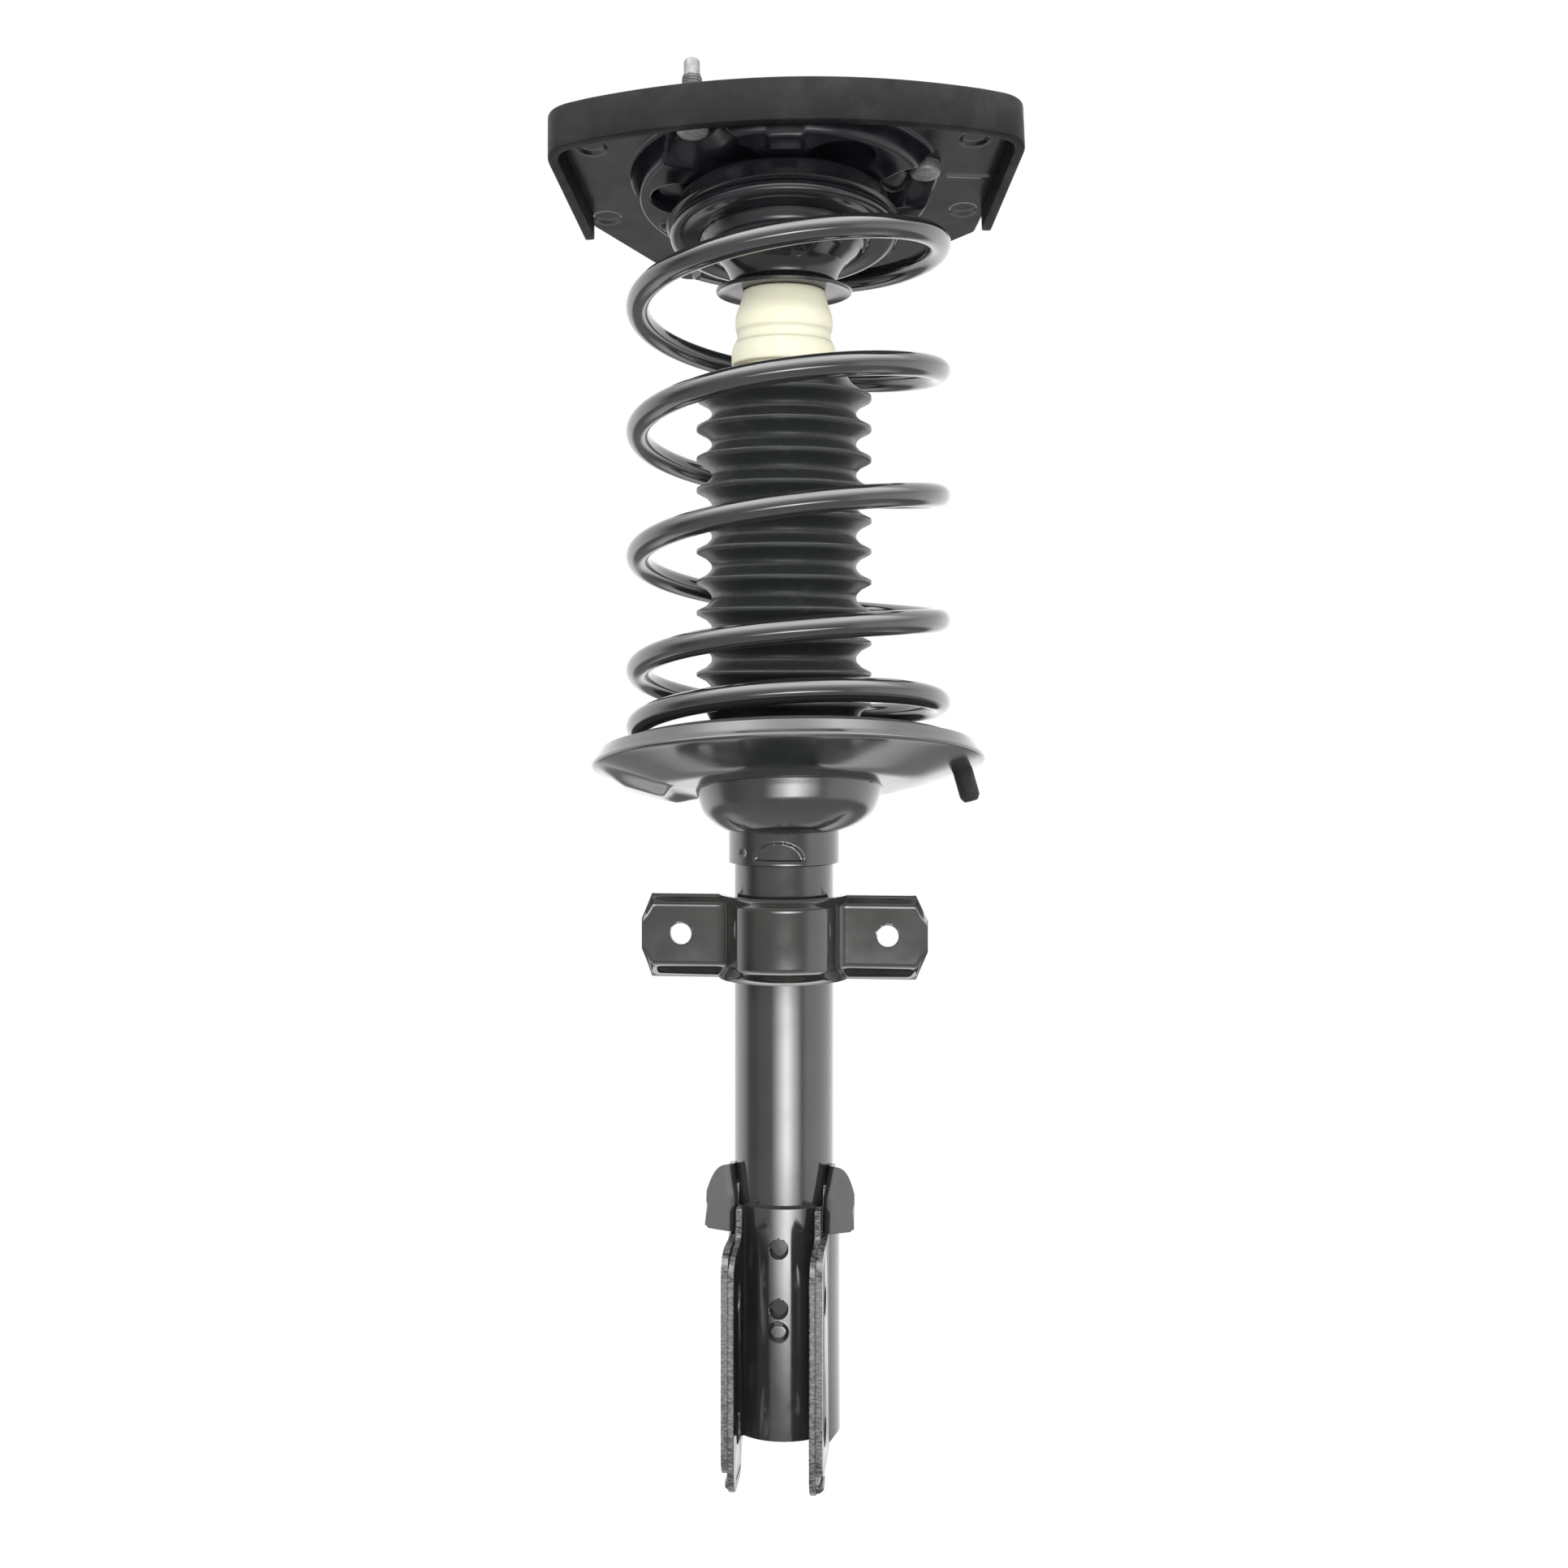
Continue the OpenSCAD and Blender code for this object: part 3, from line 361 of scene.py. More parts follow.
plate_black = dip_coat("plate_dip_coat", (0.006, 0.007, 0.009), (0.011, 0.012, 0.016), 0.16, 0.26,
                       peel_mm=0.012, IOR=1.5, Coat_Weight=0.0)
ROUND = 480
DEEP = 104
rod_line = MOUNT.inverted().to_3x3() @ Vector((0, 0, 1))
plate_angles = angles_round(ROUND)
plate_edges = [outline_radius(angle) for angle in plate_angles]
plate_points = []
for lower, rows in ((0, range(DEEP)), (1, reversed(range(DEEP)))):
    for row in rows:
        share = row / (DEEP - 1)
        for angle, edge in zip(plate_angles, plate_edges):
            reach = edge + (WELL_R - 1.0 - edge) * share
            x = reach * math.cos(angle)
            y = reach * math.sin(angle)
            drop = plate_drop(x, y) + lower * SHEET_MM
            slide = share ** 3 * drop
            plate_points.append(MOUNT @ Vector((x - rod_line.x * slide, y - rod_line.y * slide, -drop)))
tower_plate = make_piece("tower_mount_plate", plate_points, grid_faces(2 * DEEP, ROUND, close_rows=True),
                         "upper_mount", plate_black, ("mount_plate",), crease=50)
break_edges(tower_plate, 0.6, 50)

# ---- Rubber band round the plate's edge ----
# A moulded EPDM band that seals the plate against the tower. Its lower part sits under the
# plate's edge and a thinner lip stands beside that edge; both ends are rounded off.
BAND_LOW = -15.0
BAND_HIGH = 7.0
BAND_MM = 5.0
LIP_MM = 2.95


def rounded_section(points, reach):
    return closed_loop([(x, y, reach) for x, y in points], 3)


band_rubber = Finish("band_rubber", IOR=1.5, Specular_IOR_Level=0.2)
haze = band_rubber.spread(band_rubber.noise(38, 6, rough=0.62), 0.5, 0.72)
dust = band_rubber.blend(haze, (0.005, 0.005, 0.0055), (0.025, 0.0245, 0.0255))
pits = band_rubber.noise(0.9, 3)
band_rubber.set_colour(band_rubber.spread(pits, 0.35, 0.75, 0, 0.5), dust, (0.010, 0.0105, 0.012))
band_rubber.set_roughness(band_rubber.noise(9, 4), 0.42, 0.6)
band_rubber.bump((pits, 0.06, 0.6), (band_rubber.noise(18, 2), 0.3, 0.3))

face_path = band_path(47, 10)
dense_path = [face_path[0].lerp(face_path[1], k / 12) for k in range(12)] + face_path[1:-1]
dense_path += [face_path[-2].lerp(face_path[-1], k / 12) for k in range(1, 13)]
band_section = rounded_section([(0, BAND_LOW), (BAND_MM, BAND_LOW), (BAND_MM, -3.1), (LIP_MM, -3.05),
                                (LIP_MM, BAND_HIGH), (0, BAND_HIGH)], 0.8)
middle_x = LIP_MM / 2 + 0.5
middle_z = (BAND_LOW + BAND_HIGH) / 2
walls = {inset: offset_path(dense_path, inset) for inset in {round(p.x, 4) for p in band_section}}
rounded_end = ((0.12, 0.0), (0.55, 0.15), (0.85, 0.55), (1.0, 1.4))
band_rows = [(0, shrink, out) for shrink, out in rounded_end]
band_rows += [(i, 1.0, 0.0) for i in range(1, len(dense_path) - 1)]
band_rows += [(len(dense_path) - 1, shrink, out) for shrink, out in reversed(rounded_end)]
band_points = []
for i, shrink, out in band_rows:
    inward = 1 if i == 0 else -1
    neighbour = min(max(i + inward, 0), len(dense_path) - 1)
    along = (dense_path[neighbour] - dense_path[i]).normalized() * out
    through = (walls[BAND_MM][i] - dense_path[i]).normalized()
    for p in band_section:
        flat = walls[round(p.x, 4)][i]
        if shrink < 1.0:
            flat = dense_path[i] + through * (middle_x + (p.x - middle_x) * shrink)
        height = middle_z + (p.y - middle_z) * (shrink if shrink < 0.5 else 1 - (1 - shrink) * 0.2)
        band_points.append(MOUNT @ Vector((flat.x + along.x + OUTLINE_SHIFT, flat.y + along.y, height)))
make_piece("rim_band", band_points, capped_tube(len(band_rows), len(band_section)), "upper_mount",
           band_rubber.material, ("rim_seal",), crease=40)

# ---- Tower studs ----
# Three zinc-plated M10 studs pressed into the plate from below. Each has a low round head, a
# knurled shank in the plate, a rolled thread and a plain point that guides the nut on.
STUD_TIP = 29.5
STUD_COLUMNS = 48
THREAD_LOW = 0.3
THREAD_HIGH = 21.6
THREAD_PITCH = 1.5


def turned(name, profile, body, finish, nodes=(), columns=160, place=Matrix.Identity(4),
           closed=True, crease=35.0, shape=round_point):
    """A lathe-turned piece: profile points are (radius, height) in mm, and shape may bend them."""
    points = [place @ shape(radius, angle, height)
              for radius, height in profile for angle in angles_round(columns)]
    faces = grid_faces(len(profile), columns, close_rows=closed)
    return make_piece(name, points, faces, body, finish, nodes, crease)


def thread_radius(height, share):
    """Radius of the rolled thread at one height and one share of the way round."""
    phase = (height / THREAD_PITCH - share) % 1.0
    flank = min(abs(phase - 0.5) * 2.5, 1.0)
    fade = 1 - ease(19.5, 21.5, height)
    return 5.0 - 0.82 * (flank * fade + 0.9 * (1 - fade))


zinc = Finish("stud_zinc", Metallic=0.45, IOR=1.8)
zinc_cloud = zinc.noise(2.2, 6)
zinc.set_colour(zinc.spread(zinc_cloud), (0.15, 0.155, 0.16), (0.33, 0.335, 0.33))
zinc.set_roughness(zinc.noise(1.1, 4), 0.36, 0.58)
zinc.bump((zinc.noise(0.35, 3), 0.03, 0.5), (zinc_cloud, 0.05, 0.4))
stud_head = [(0.01, -9.5), (4.5, -9.5), (6.4, -9.4), (7.2, -9.0), (7.75, -8.3), (8.0, -7.4), (8.0, -3.6),
             (7.8, -3.1), (5.4, -3.0), (5.4, -0.3), (4.6, 0.1)]
stud_thread = [(None, THREAD_LOW + k * THREAD_PITCH / 8)
               for k in range(int((THREAD_HIGH - THREAD_LOW) * 8 / THREAD_PITCH))]
stud_tip = [(3.95, 22.4), (3.95, 27.6), (3.85, 28.3), (3.5, 29.0), (2.9, 29.4), (1.2, STUD_TIP),
            (0.01, STUD_TIP)]
stud_rows = stud_head + stud_thread + stud_tip
stud_points = []
for radius, height in stud_rows:
    for k, angle in enumerate(angles_round(STUD_COLUMNS)):
        reach = radius or thread_radius(height, k / STUD_COLUMNS)
        stud_points.append(round_point(reach, angle, height))
for number, angle in enumerate(STUD_ANGLES):
    place = MOUNT @ turn("Z", angle) @ Matrix.Translation((STUD_RING_R, 0, 0))
    make_piece(f"tower_stud_{number + 1}", [place @ point for point in stud_points],
               grid_faces(len(stud_rows), STUD_COLUMNS), "upper_mount", zinc.material,
               ("tower_studs",), crease=50)

# ---- Spring pilot: pan, bell and stop washer ----
# A pan pressed from thin sheet centres the coil under the dome; its lip is rolled outwards. A
# bell square to the rod is welded under it and carries the stop washer on its narrow end.
PAN_Z = -33.0
WASHER_Z = -61.8
PAN = Matrix.Translation((0, 0, PAN_Z)) @ LEAN
pan_top = -DOME_DEPTH - PAN_Z * math.cos(TILT) - 0.05
pilot_black = dip_coat("pilot_dip_coat", (0.010, 0.010, 0.012), (0.017, 0.018, 0.021), 0.1, 0.18, IOR=1.6,
                       Coat_Weight=0.1)


def sheet_loop(path, thickness, edge=0.5):
    """Both faces of a pressed sheet that follows path, with its two edges broken."""
    half = thickness / 2
    outer = offset_path(path, half)
    inner = offset_path(path, -half)
    start = (path[1] - path[0]).normalized() * edge
    end = (path[-1] - path[-2]).normalized() * edge
    head = side_of(path[0], path[1]) * (half - edge)
    tail = side_of(path[-2], path[-1]) * (half - edge)
    return ([path[0] + head, outer[0] + start] + outer[1:-1] + [outer[-1] - end, path[-1] + tail,
            path[-1] - tail, inner[-1] - end] + inner[-2:0:-1] + [inner[0] + start, path[0] - head])


def angle_from(angle, degrees):
    """Signed angle from one bearing round the rod, half a turn at most."""
    return (angle - math.radians(degrees) + math.pi) % (2 * math.pi) - math.pi


pan_path = round_path([(38.6, pan_top - 1.25, 0), (54, pan_top - 1.25, 3), (54, -1, 4),
                       (57.2, 1.3, 1.6), (57.9, -2.8, 2.2), (53.5, -4.7, 2.4),
                       (47, -4, 1), (41.2, -4, 0)])
turned("spring_pilot_pan", sheet_loop(pan_path, 2.3, 0.4), "upper_mount",
       pilot_black, ("spring_pilot",), columns=256, place=PAN, crease=60)

bell_path = round_path([(43, 0, 0), (43, -38.5, 6), (33.5, -45.5, 6), (27.6, -51.5, 6),
                        (25.8, -58.6, 0)], 8)
pan_plane = PAN.to_3x3() @ Vector((0, 0, 1))
pan_base = PAN @ Vector((0, 0, -5.3))


def bell_point(radius, angle, height):
    """The bell ends at the leaning pan and has one small dent in its front."""
    x, y = radius * math.cos(angle), radius * math.sin(angle)
    lower = (pan_plane.x * (x - pan_base.x) + pan_plane.y * (y - pan_base.y)) / pan_plane.z
    from_dent = math.hypot(radius * angle_from(angle, -70), height + 47)
    scale = 1 - 0.9 * (1 - ease(3.0, 5.5, from_dent)) / radius
    return Vector((x * scale, y * scale, min(height, pan_base.z - lower)))


turned("pilot_bell_cup", sheet_loop(bell_path, 2.5, 0.5), "upper_mount", pilot_black,
       ("pilot_bell",), columns=192, crease=45, shape=bell_point)

washer_path = round_path([(7.1, WASHER_Z, 0), (22, WASHER_Z, 0), (30, WASHER_Z, 3),
                          (35, WASHER_Z - 1.5, 0)], 8)
turned("bump_stop_washer", sheet_loop(washer_path, 2.0, 0.4), "upper_mount",
       dip_coat("washer_dip_coat", (0.011, 0.011, 0.012), (0.018, 0.018, 0.019), 0.2, 0.32, IOR=1.5),
       ("stop_washer",), columns=224, crease=40)

# ---- Rubber pad over the coil ----
# A sector of moulded rubber that keeps the coil's upper end off the painted dome.
COIL_SHIFT = 2.3
PAD_MM = 2.5
pad_rubber = Finish("pad_rubber", IOR=1.5)
pad_rubber.set_colour(pad_rubber.noise(6, 4), (0.012, 0.012, 0.012), (0.024, 0.023, 0.022))
pad_rubber.set_roughness(pad_rubber.noise(3, 3), 0.6, 0.8)
pad_rubber.bump((pad_rubber.noise(0.8, 3), 0.05, 0.5))
pad_place = Matrix.Translation((COIL_SHIFT, 0, -DOME_DEPTH / math.cos(TILT))) @ LEAN @ turn("Z", 38)
pad_section = rounded_section([(69.5, -PAD_MM), (81.5, -PAD_MM), (81.5, -0.05), (69.5, -0.05)], 0.6)
pad_angles = [math.radians(92 * k / 60) for k in range(61)]
pad_points = [pad_place @ round_point(p.x, angle, p.y) for angle in pad_angles for p in pad_section]
make_piece("coil_pad", pad_points, capped_tube(len(pad_angles), len(pad_section)), "upper_mount",
           pad_rubber.material, ("upper_insulator",), crease=50)

# ---- Bushing and the top of the rod ----
# The rod is held in the plate's well by a rubber bushing, bonded between a steel shell and an
# inner sleeve. A washer and a flanged nut clamp the sleeve on the rod's threaded top.
turned("rod_bushing_rubber", round_path([
    (11.1, -58.7, 0), (23.6, -59.4, 1), (24.7, -57.8, 1), (24.7, -36.2, 3), (31.3, -32.6, 2),
    (31.3, -8.2, 1.5), (27.5, -8.4, 1.5), (24, -14, 3), (20, -14.5, 3), (17, -11, 2), (11.1, -10.8, 0)]),
       "upper_mount", pad_rubber.material, ("mount_bushing",), crease=50)


def steel_finish(name, dark, light, rough_low, rough_high, stretch=(1, 1, 6), metal=1.0):
    """Bare or plated steel with fine turning marks round it and duller blotches."""
    steel = Finish(name, Metallic=metal)
    steel.set_colour(steel.spread(steel.noise(5, 5)), dark, light)
    steel.set_roughness(steel.noise(2.5, 4, stretch), rough_low, rough_high)
    steel.bump((steel.noise(0.5, 3, stretch), 0.015, 0.5))
    return steel.material


def paint_node(node, finish):
    solid = frame["nodes"][node]
    for part in [solid] + list(solid.children_recursive):
        if part.type == "MESH":
            for part_slot in part.material_slots:
                part_slot.material = finish


plated = steel_finish("plated_steel", (0.36, 0.36, 0.35), (0.56, 0.56, 0.54), 0.3, 0.5)
machined = steel_finish("machined_steel", (0.42, 0.42, 0.42), (0.6, 0.6, 0.6), 0.22, 0.38)
paint_node("bushing_shell", plate_black)
for node in ("bushing_sleeve", "top_washer", "rod_nut"):
    paint_node(node, plated)

# ---- Bump stop ----
# A long buffer of cream microcellular foam on the rod under the washer. It is moulded with soft
# waves, so that it folds in steps, and a groove near its lower end carries the dust boot.
foam = Finish("buffer_foam", IOR=1.4, Subsurface_Weight=0.25, Subsurface_Scale=0.004)
foam.shader.inputs["Subsurface Radius"].default_value = (1.0, 0.8, 0.45)
foam_cloud = foam.noise(22, 4)
foam_pores = foam.noise(0.55, 3)
cream = foam.blend(foam.spread(foam_cloud), (0.93, 0.90, 0.66), (0.97, 0.955, 0.78))
foam.set_colour(foam.spread(foam_pores, 0.55, 0.8, 0, 0.5), cream, (0.80, 0.76, 0.52))
foam.set_roughness(foam.noise(4, 3), 0.55, 0.75)
foam.bump((foam_pores, 0.06, 0.5), (foam.noise(1.6, 3, (1, 1, 9)), 0.12, 0.35),
          (foam.noise(9, 2), 0.3, 0.25))
stop_profile = round_path([
    (10.4, -62.9, 0), (21.2, -62.9, 1.2), (22.0, -68.0, 4), (26.2, -79.5, 6), (23.2, -87.0, 4),
    (27.0, -92.8, 4.2), (27.0, -101.2, 1), (24.2, -102.3, 1), (24.2, -109.8, 1), (25.5, -111.8, 1.5),
    (20.0, -119.8, 3), (14.3, -128.7, 2), (10.4, -128.7, 0)], 10)
buffer = turned("foam_bump_stop", stop_profile, "upper_mount", foam.material,
                ("bump_stop",), columns=192, crease=60)
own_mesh(buffer)

# ---- Piston rod and valves inside the damper ----
# The chromed rod carries a sintered piston with a plastic band, check plate and nut, and a
# rebound stop above it. None of it shows until the boot is off.
chrome = steel_finish("rod_chrome", (0.62, 0.63, 0.64), (0.72, 0.73, 0.74), 0.06, 0.14, (1, 1, 3))
sintered = steel_finish("sintered_iron", (0.16, 0.15, 0.14), (0.26, 0.25, 0.24), 0.45, 0.65, (1, 1, 1))
paint_node("piston_rod", chrome)
for node in ("rebound_ring", "piston_nut", "pressure_tube", "foot_check_plate", "piston_check_plate"):
    paint_node(node, machined)
for node in ("piston", "rod_guide", "foot_valve"):
    paint_node(node, sintered)
band_plastic = Finish("band_plastic", IOR=1.45)
band_plastic.set_colour(band_plastic.noise(3, 4), (0.10, 0.05, 0.03), (0.16, 0.09, 0.05))
band_plastic.set_roughness(band_plastic.noise(2, 3), 0.35, 0.5)
band_plastic.bump((band_plastic.noise(0.6, 2), 0.02, 0.5))
paint_node("piston_band", band_plastic.material)
paint_node("guide_bushing", steel_finish("guide_bronze", (0.42, 0.27, 0.12), (0.58, 0.40, 0.20), 0.3, 0.45))
turned("rebound_cushion", round_path([(10.1, -286.2, 0), (12.9, -286.2, 1), (13, -281.5, 2),
                                      (12.9, -276.4, 1), (10.1, -276.4, 0)]),
       "upper_mount", pad_rubber.material, ("rebound_bumper",), columns=96)
turned("rod_lip_seal", round_path([(10.1, -255.9, 0), (23.4, -255.9, 0.6), (23.4, -250.1, 0.6),
                                   (13.5, -250.1, 0.8), (12.2, -252.4, 0.8), (10.1, -250.9, 0)]),
       "damper_body", pad_rubber.material, ("rod_seal",), columns=96)

# ---- Coil spring ----
# One 12 mm wire wound to 155 mm in five turns. Its pitch closes up towards the lower end, and both
# ends lean with their seats. It is phosphated and powder coated gloss black.
TURNS = 4.64
FIRST_TURN = -0.36
FIRST_ANGLE = 6.0
COIL_R = 77.5
WIRE_R = 6.0
LIFT_OFF = -0.25
EASING = 2.9
END_PITCH = 0.125
SEAT_Z = -307.0
RING_MM = 12.0
REST_GAP = 0.3
upper_wire = -(DOME_DEPTH + PAD_MM + REST_GAP + WIRE_R) / math.cos(TILT)
lower_wire = SEAT_Z + (RING_MM + REST_GAP + WIRE_R) / math.cos(TILT)
easing_turns = TURNS - EASING
coil_pitch = (upper_wire - lower_wire) / (EASING - LIFT_OFF + easing_turns * (1 + END_PITCH) / 2)


def coil_centre(u):
    if u < LIFT_OFF:
        height = upper_wire
    elif u < EASING:
        height = upper_wire - coil_pitch * (u - LIFT_OFF)
    else:
        v = u - EASING
        height = (upper_wire - coil_pitch * (EASING - LIFT_OFF)
                  - coil_pitch * (v - (1 - END_PITCH) * v * v / (2 * easing_turns)))
    lean = 0.25 + 0.75 * (1 - ease(0, 0.6, u - LIFT_OFF) + ease(0, 1.45, u - 2.8))
    angle = math.radians(FIRST_ANGLE - 360 * u)
    rise = math.tan(TILT) * COIL_R * math.cos(angle + math.radians(90 - TILT_TURN))
    return Vector((COIL_SHIFT + COIL_R * math.cos(angle), COIL_R * math.sin(angle), height + lean * rise))


RINGS = 480
SIDES = 28
coil_points = []
steps = [0.0] + [k / RINGS for k in range(RINGS + 1)] + [1.0]
for i, share in enumerate(steps):
    u = FIRST_TURN + (TURNS - FIRST_TURN) * share
    centre = coil_centre(u)
    along = (coil_centre(u + 0.01) - coil_centre(u - 0.01)).normalized()
    outward = Vector((0, 0, 1)).cross(along).normalized()
    up = along.cross(outward)
    reach = WIRE_R - (0.9 if i in (0, len(steps) - 1) else 0.0)
    inset = 0.9 if i == 1 else (-0.9 if i == len(steps) - 2 else 0.0)
    for a in angles_round(SIDES):
        coil_points.append(centre + along * inset + reach * (math.cos(a) * outward + math.sin(a) * up))
coil_coat = Finish("coil_powder_coat", IOR=1.85, Coat_Weight=0.3, Coat_Roughness=0.06)
coil_coat.set_colour(coil_coat.noise(30, 3), (0.013, 0.0135, 0.0145), (0.022, 0.023, 0.025))
coil_coat.set_roughness(coil_coat.noise(12, 5), 0.06, 0.13)
coil_coat.bump((coil_coat.noise(5, 1), 0.02, 0.2), (coil_coat.specks(22, 0.015, 0.03), 0.02, 0.3))
coil = make_piece("coil_spring_wire", coil_points, capped_tube(len(steps), SIDES), "upper_mount",
                  coil_coat.material, ("coil_spring",), crease=40)
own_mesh(coil)

# ---- Dust boot ----
# A blow-moulded bellows of thin rubber, eleven folds, clipped in the bump stop's groove. Its
# lower cuff slides over the tube, and it keeps grit off the rod.
FOLDS = 11
FIRST_FOLD = -118.3
LAST_FOLD = -275.8
fold_step = (FIRST_FOLD - LAST_FOLD) / (FOLDS - 1)
boot_line = [(25.3, -108.8), (25.3, -104.4), (26.2, -103.8), (28.2, -104.2), (31.5, -106.4),
             (34.5, -111.3)]
for fold in range(FOLDS):
    z = FIRST_FOLD - fold * fold_step
    boot_line += [(39.6, z + 3.0), (43.2, z + 1.15), (44.3, z + 0.55), (44.35, z), (44.3, z - 0.55),
                  (43.2, z - 1.15), (39.6, z - 3.0)]
    if fold < FOLDS - 1:
        for k in range(-3, 4):
            s = k / 3
            boot_line.append((36.5 + 0.7 * s * s, z - fold_step / 2 - 2.4 * s))
boot_line += [(35.0, -288.0), (32.5, -291.5), (28.5, -293.0), (26.7, -293.6), (26.6, -295.0),
              (26.6, -303.0)]
boot_path = [Vector(p) for p in boot_line]
boot_rubber = Finish("boot_rubber", IOR=1.5, Coat_Weight=0.15, Coat_Roughness=0.3)
scuff = boot_rubber.spread(boot_rubber.noise(16, 6, rough=0.65), 0.55, 0.75)
ridges = boot_rubber.blend(scuff, (0.019, 0.021, 0.021), (0.040, 0.042, 0.042))
boot_rubber.set_colour(boot_rubber.specks(5, 0.03, 0.07), ridges, (0.12, 0.12, 0.12))
boot_rubber.set_roughness(boot_rubber.noise(7, 4), 0.34, 0.5)
boot_rubber.bump((boot_rubber.noise(1.2, 3), 0.05, 0.5), (boot_rubber.noise(12, 2), 0.4, 0.3))
boot = turned("dust_boot_bellows", sheet_loop(boot_path, 1.4, 0.3), "upper_mount",
              boot_rubber.material, ("dust_boot",), columns=224, crease=60)
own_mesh(boot)

# ---- Damper tube ----
# A 51 mm drawn tube with a rolled-in top and a cap welded in its foot. A pressed cap with vent
# holes sits on top, and the tube is dip coated with the parts welded to it.
tube_black = dip_coat("tube_dip_coat", (0.014, 0.016, 0.015), (0.022, 0.025, 0.023), 0.07, 0.14)
turned("damper_tube", round_path([
    (21.1, -248.2, 0), (24.2, -248.1, 1.2), (25.5, -250.4, 1.5), (25.5, -640, 0.5), (23.6, -640, 0.3),
    (23.6, -250.3, 0), (21.1, -250.0, 0)]), "damper_body", tube_black,
       ("strut_tube",), columns=192)
paint_node("bump_cap", plated)
paint_node("base_cap", tube_black)

# ---- Lower spring seat ----
# A dish pressed from thin steel, leaning like the tower face, with a folded rim and a pocket for
# the coil's end. The bowl under it leans at its top only and carries it down to the weld.
SEAT = Matrix.Translation((COIL_SHIFT, 0, SEAT_Z)) @ LEAN
BOWL_SHIFT = 3.0
BOWL_BASE = -339.0
seat_black = dip_coat("seat_dip_coat", (0.014, 0.016, 0.015), (0.022, 0.025, 0.024), 0.12, 0.2)


def pocket_drop(radius, angle):
    """Extra depth of the pressed pocket under the coil's end."""
    degrees = math.degrees(angle) % 360
    along = ease(128, 152, degrees) * (1 - ease(176, 192, degrees))
    across = ease(59, 65, radius) * (1 - ease(84, 96, radius))
    return 4.2 * along * across


dish_path = round_path([(41, -10.5, 0), (52, -10.4, 0), (60, -10.2, 0), (65.5, -10, 5), (72, -8.1, 0),
                        (78, -6.3, 0), (84, -4.5, 0), (90, -2.75, 0), (96, -0.95, 0), (99.9, 0.2, 0.5),
                        (98.0, 2.6, 1.2), (94.4, 8.1, 0)], 6)
turned("spring_seat_dish", sheet_loop(dish_path, 2.3, 0.4), "damper_body", seat_black,
       ("spring_seat",), columns=320, place=SEAT, crease=40,
       shape=lambda radius, angle, height: round_point(radius, angle, height - pocket_drop(radius, angle)))


def bowl_point(radius, angle, height):
    """The wider the bowl, the more it leans with the dish."""
    spot = round_point(radius, angle, height)
    leaning = min(max((radius - 31) / 16, 0.0), 1.0)
    return spot.lerp(LEAN.to_3x3() @ spot + Vector((BOWL_SHIFT, 0, 0)), leaning)


wall_points = [(47.3 - 0.33 * k, 20.6 - k, 0) for k in range(9)]
bowl_path = round_path(wall_points + [(43.15, 8.0, 4), (34.5, 1.4, 5), (31, 0.6, 1), (28.6, 0, 0)], 10)
turned("spring_seat_bowl", sheet_loop(bowl_path, 2.4, 0.4), "damper_body", seat_black,
       ("spring_seat",), columns=224, place=Matrix.Translation((0, 0, BOWL_BASE)), crease=45,
       shape=bowl_point)

# ---- Weld collar ----
# A short ring under the bowl that ties the seat to the tube. A half-moon is pressed in its
# front where the electrode sits, and weld runs round its upper edge.
COLLAR_LOW = -357.0
COLLAR_HIGH = -339.05
COLLAR_R = 28.5
WELD_STEPS = 420
WELD_SIDES = 10
collar_rows = [(25.6, COLLAR_LOW), (27.6, COLLAR_LOW), (28.4, COLLAR_LOW + 0.5)]
collar_rows += [(COLLAR_R, COLLAR_LOW + 1.2 + k * (COLLAR_HIGH - COLLAR_LOW - 1.2) / 44) for k in range(45)]
collar_rows += [(25.6, COLLAR_HIGH)]


def collar_point(radius, angle, height):
    """The collar has a half-moon and a small pip pressed in its front."""
    side = angle_from(angle, -90) * COLLAR_R
    moon = math.hypot(side / 13.5, (height - COLLAR_LOW - 3.0) / 9.5)
    depth = 1.3 * (1 - ease(0.9, 1.0, moon)) * ease(2.6, 3.4, height - COLLAR_LOW)
    pip = 0.6 * (1 - ease(1.2, 2.4, math.hypot(side + 20.5, height + 350.5)))
    return round_point(radius - depth - (pip if radius > 28.4 else 0.0), angle, height)


turned("weld_collar", collar_rows, "damper_body", tube_black, ("seat_collar",),
       columns=288, crease=30, shape=collar_point)

noise.seed_set(7)
weld_points = []
for angle in angles_round(WELD_STEPS):
    ripple = noise.noise(round_point(9, angle, 3.0))
    front = 1 - ease(0.25, 0.55, abs(angle_from(angle, -90)))
    size = 0.75 + 0.3 * ripple + 0.15 * math.sin(angle * 70) + 0.55 * front
    for a in angles_round(WELD_SIDES):
        height = COLLAR_HIGH - 0.2 + size * math.sin(a) - 0.6 * front * ripple
        weld_points.append(round_point(28.3 + size * math.cos(a), angle, height))
make_piece("collar_weld", weld_points, grid_faces(WELD_STEPS, WELD_SIDES, close_rows=True),
           "damper_body", tube_black, ("seat_collar",), crease=60)

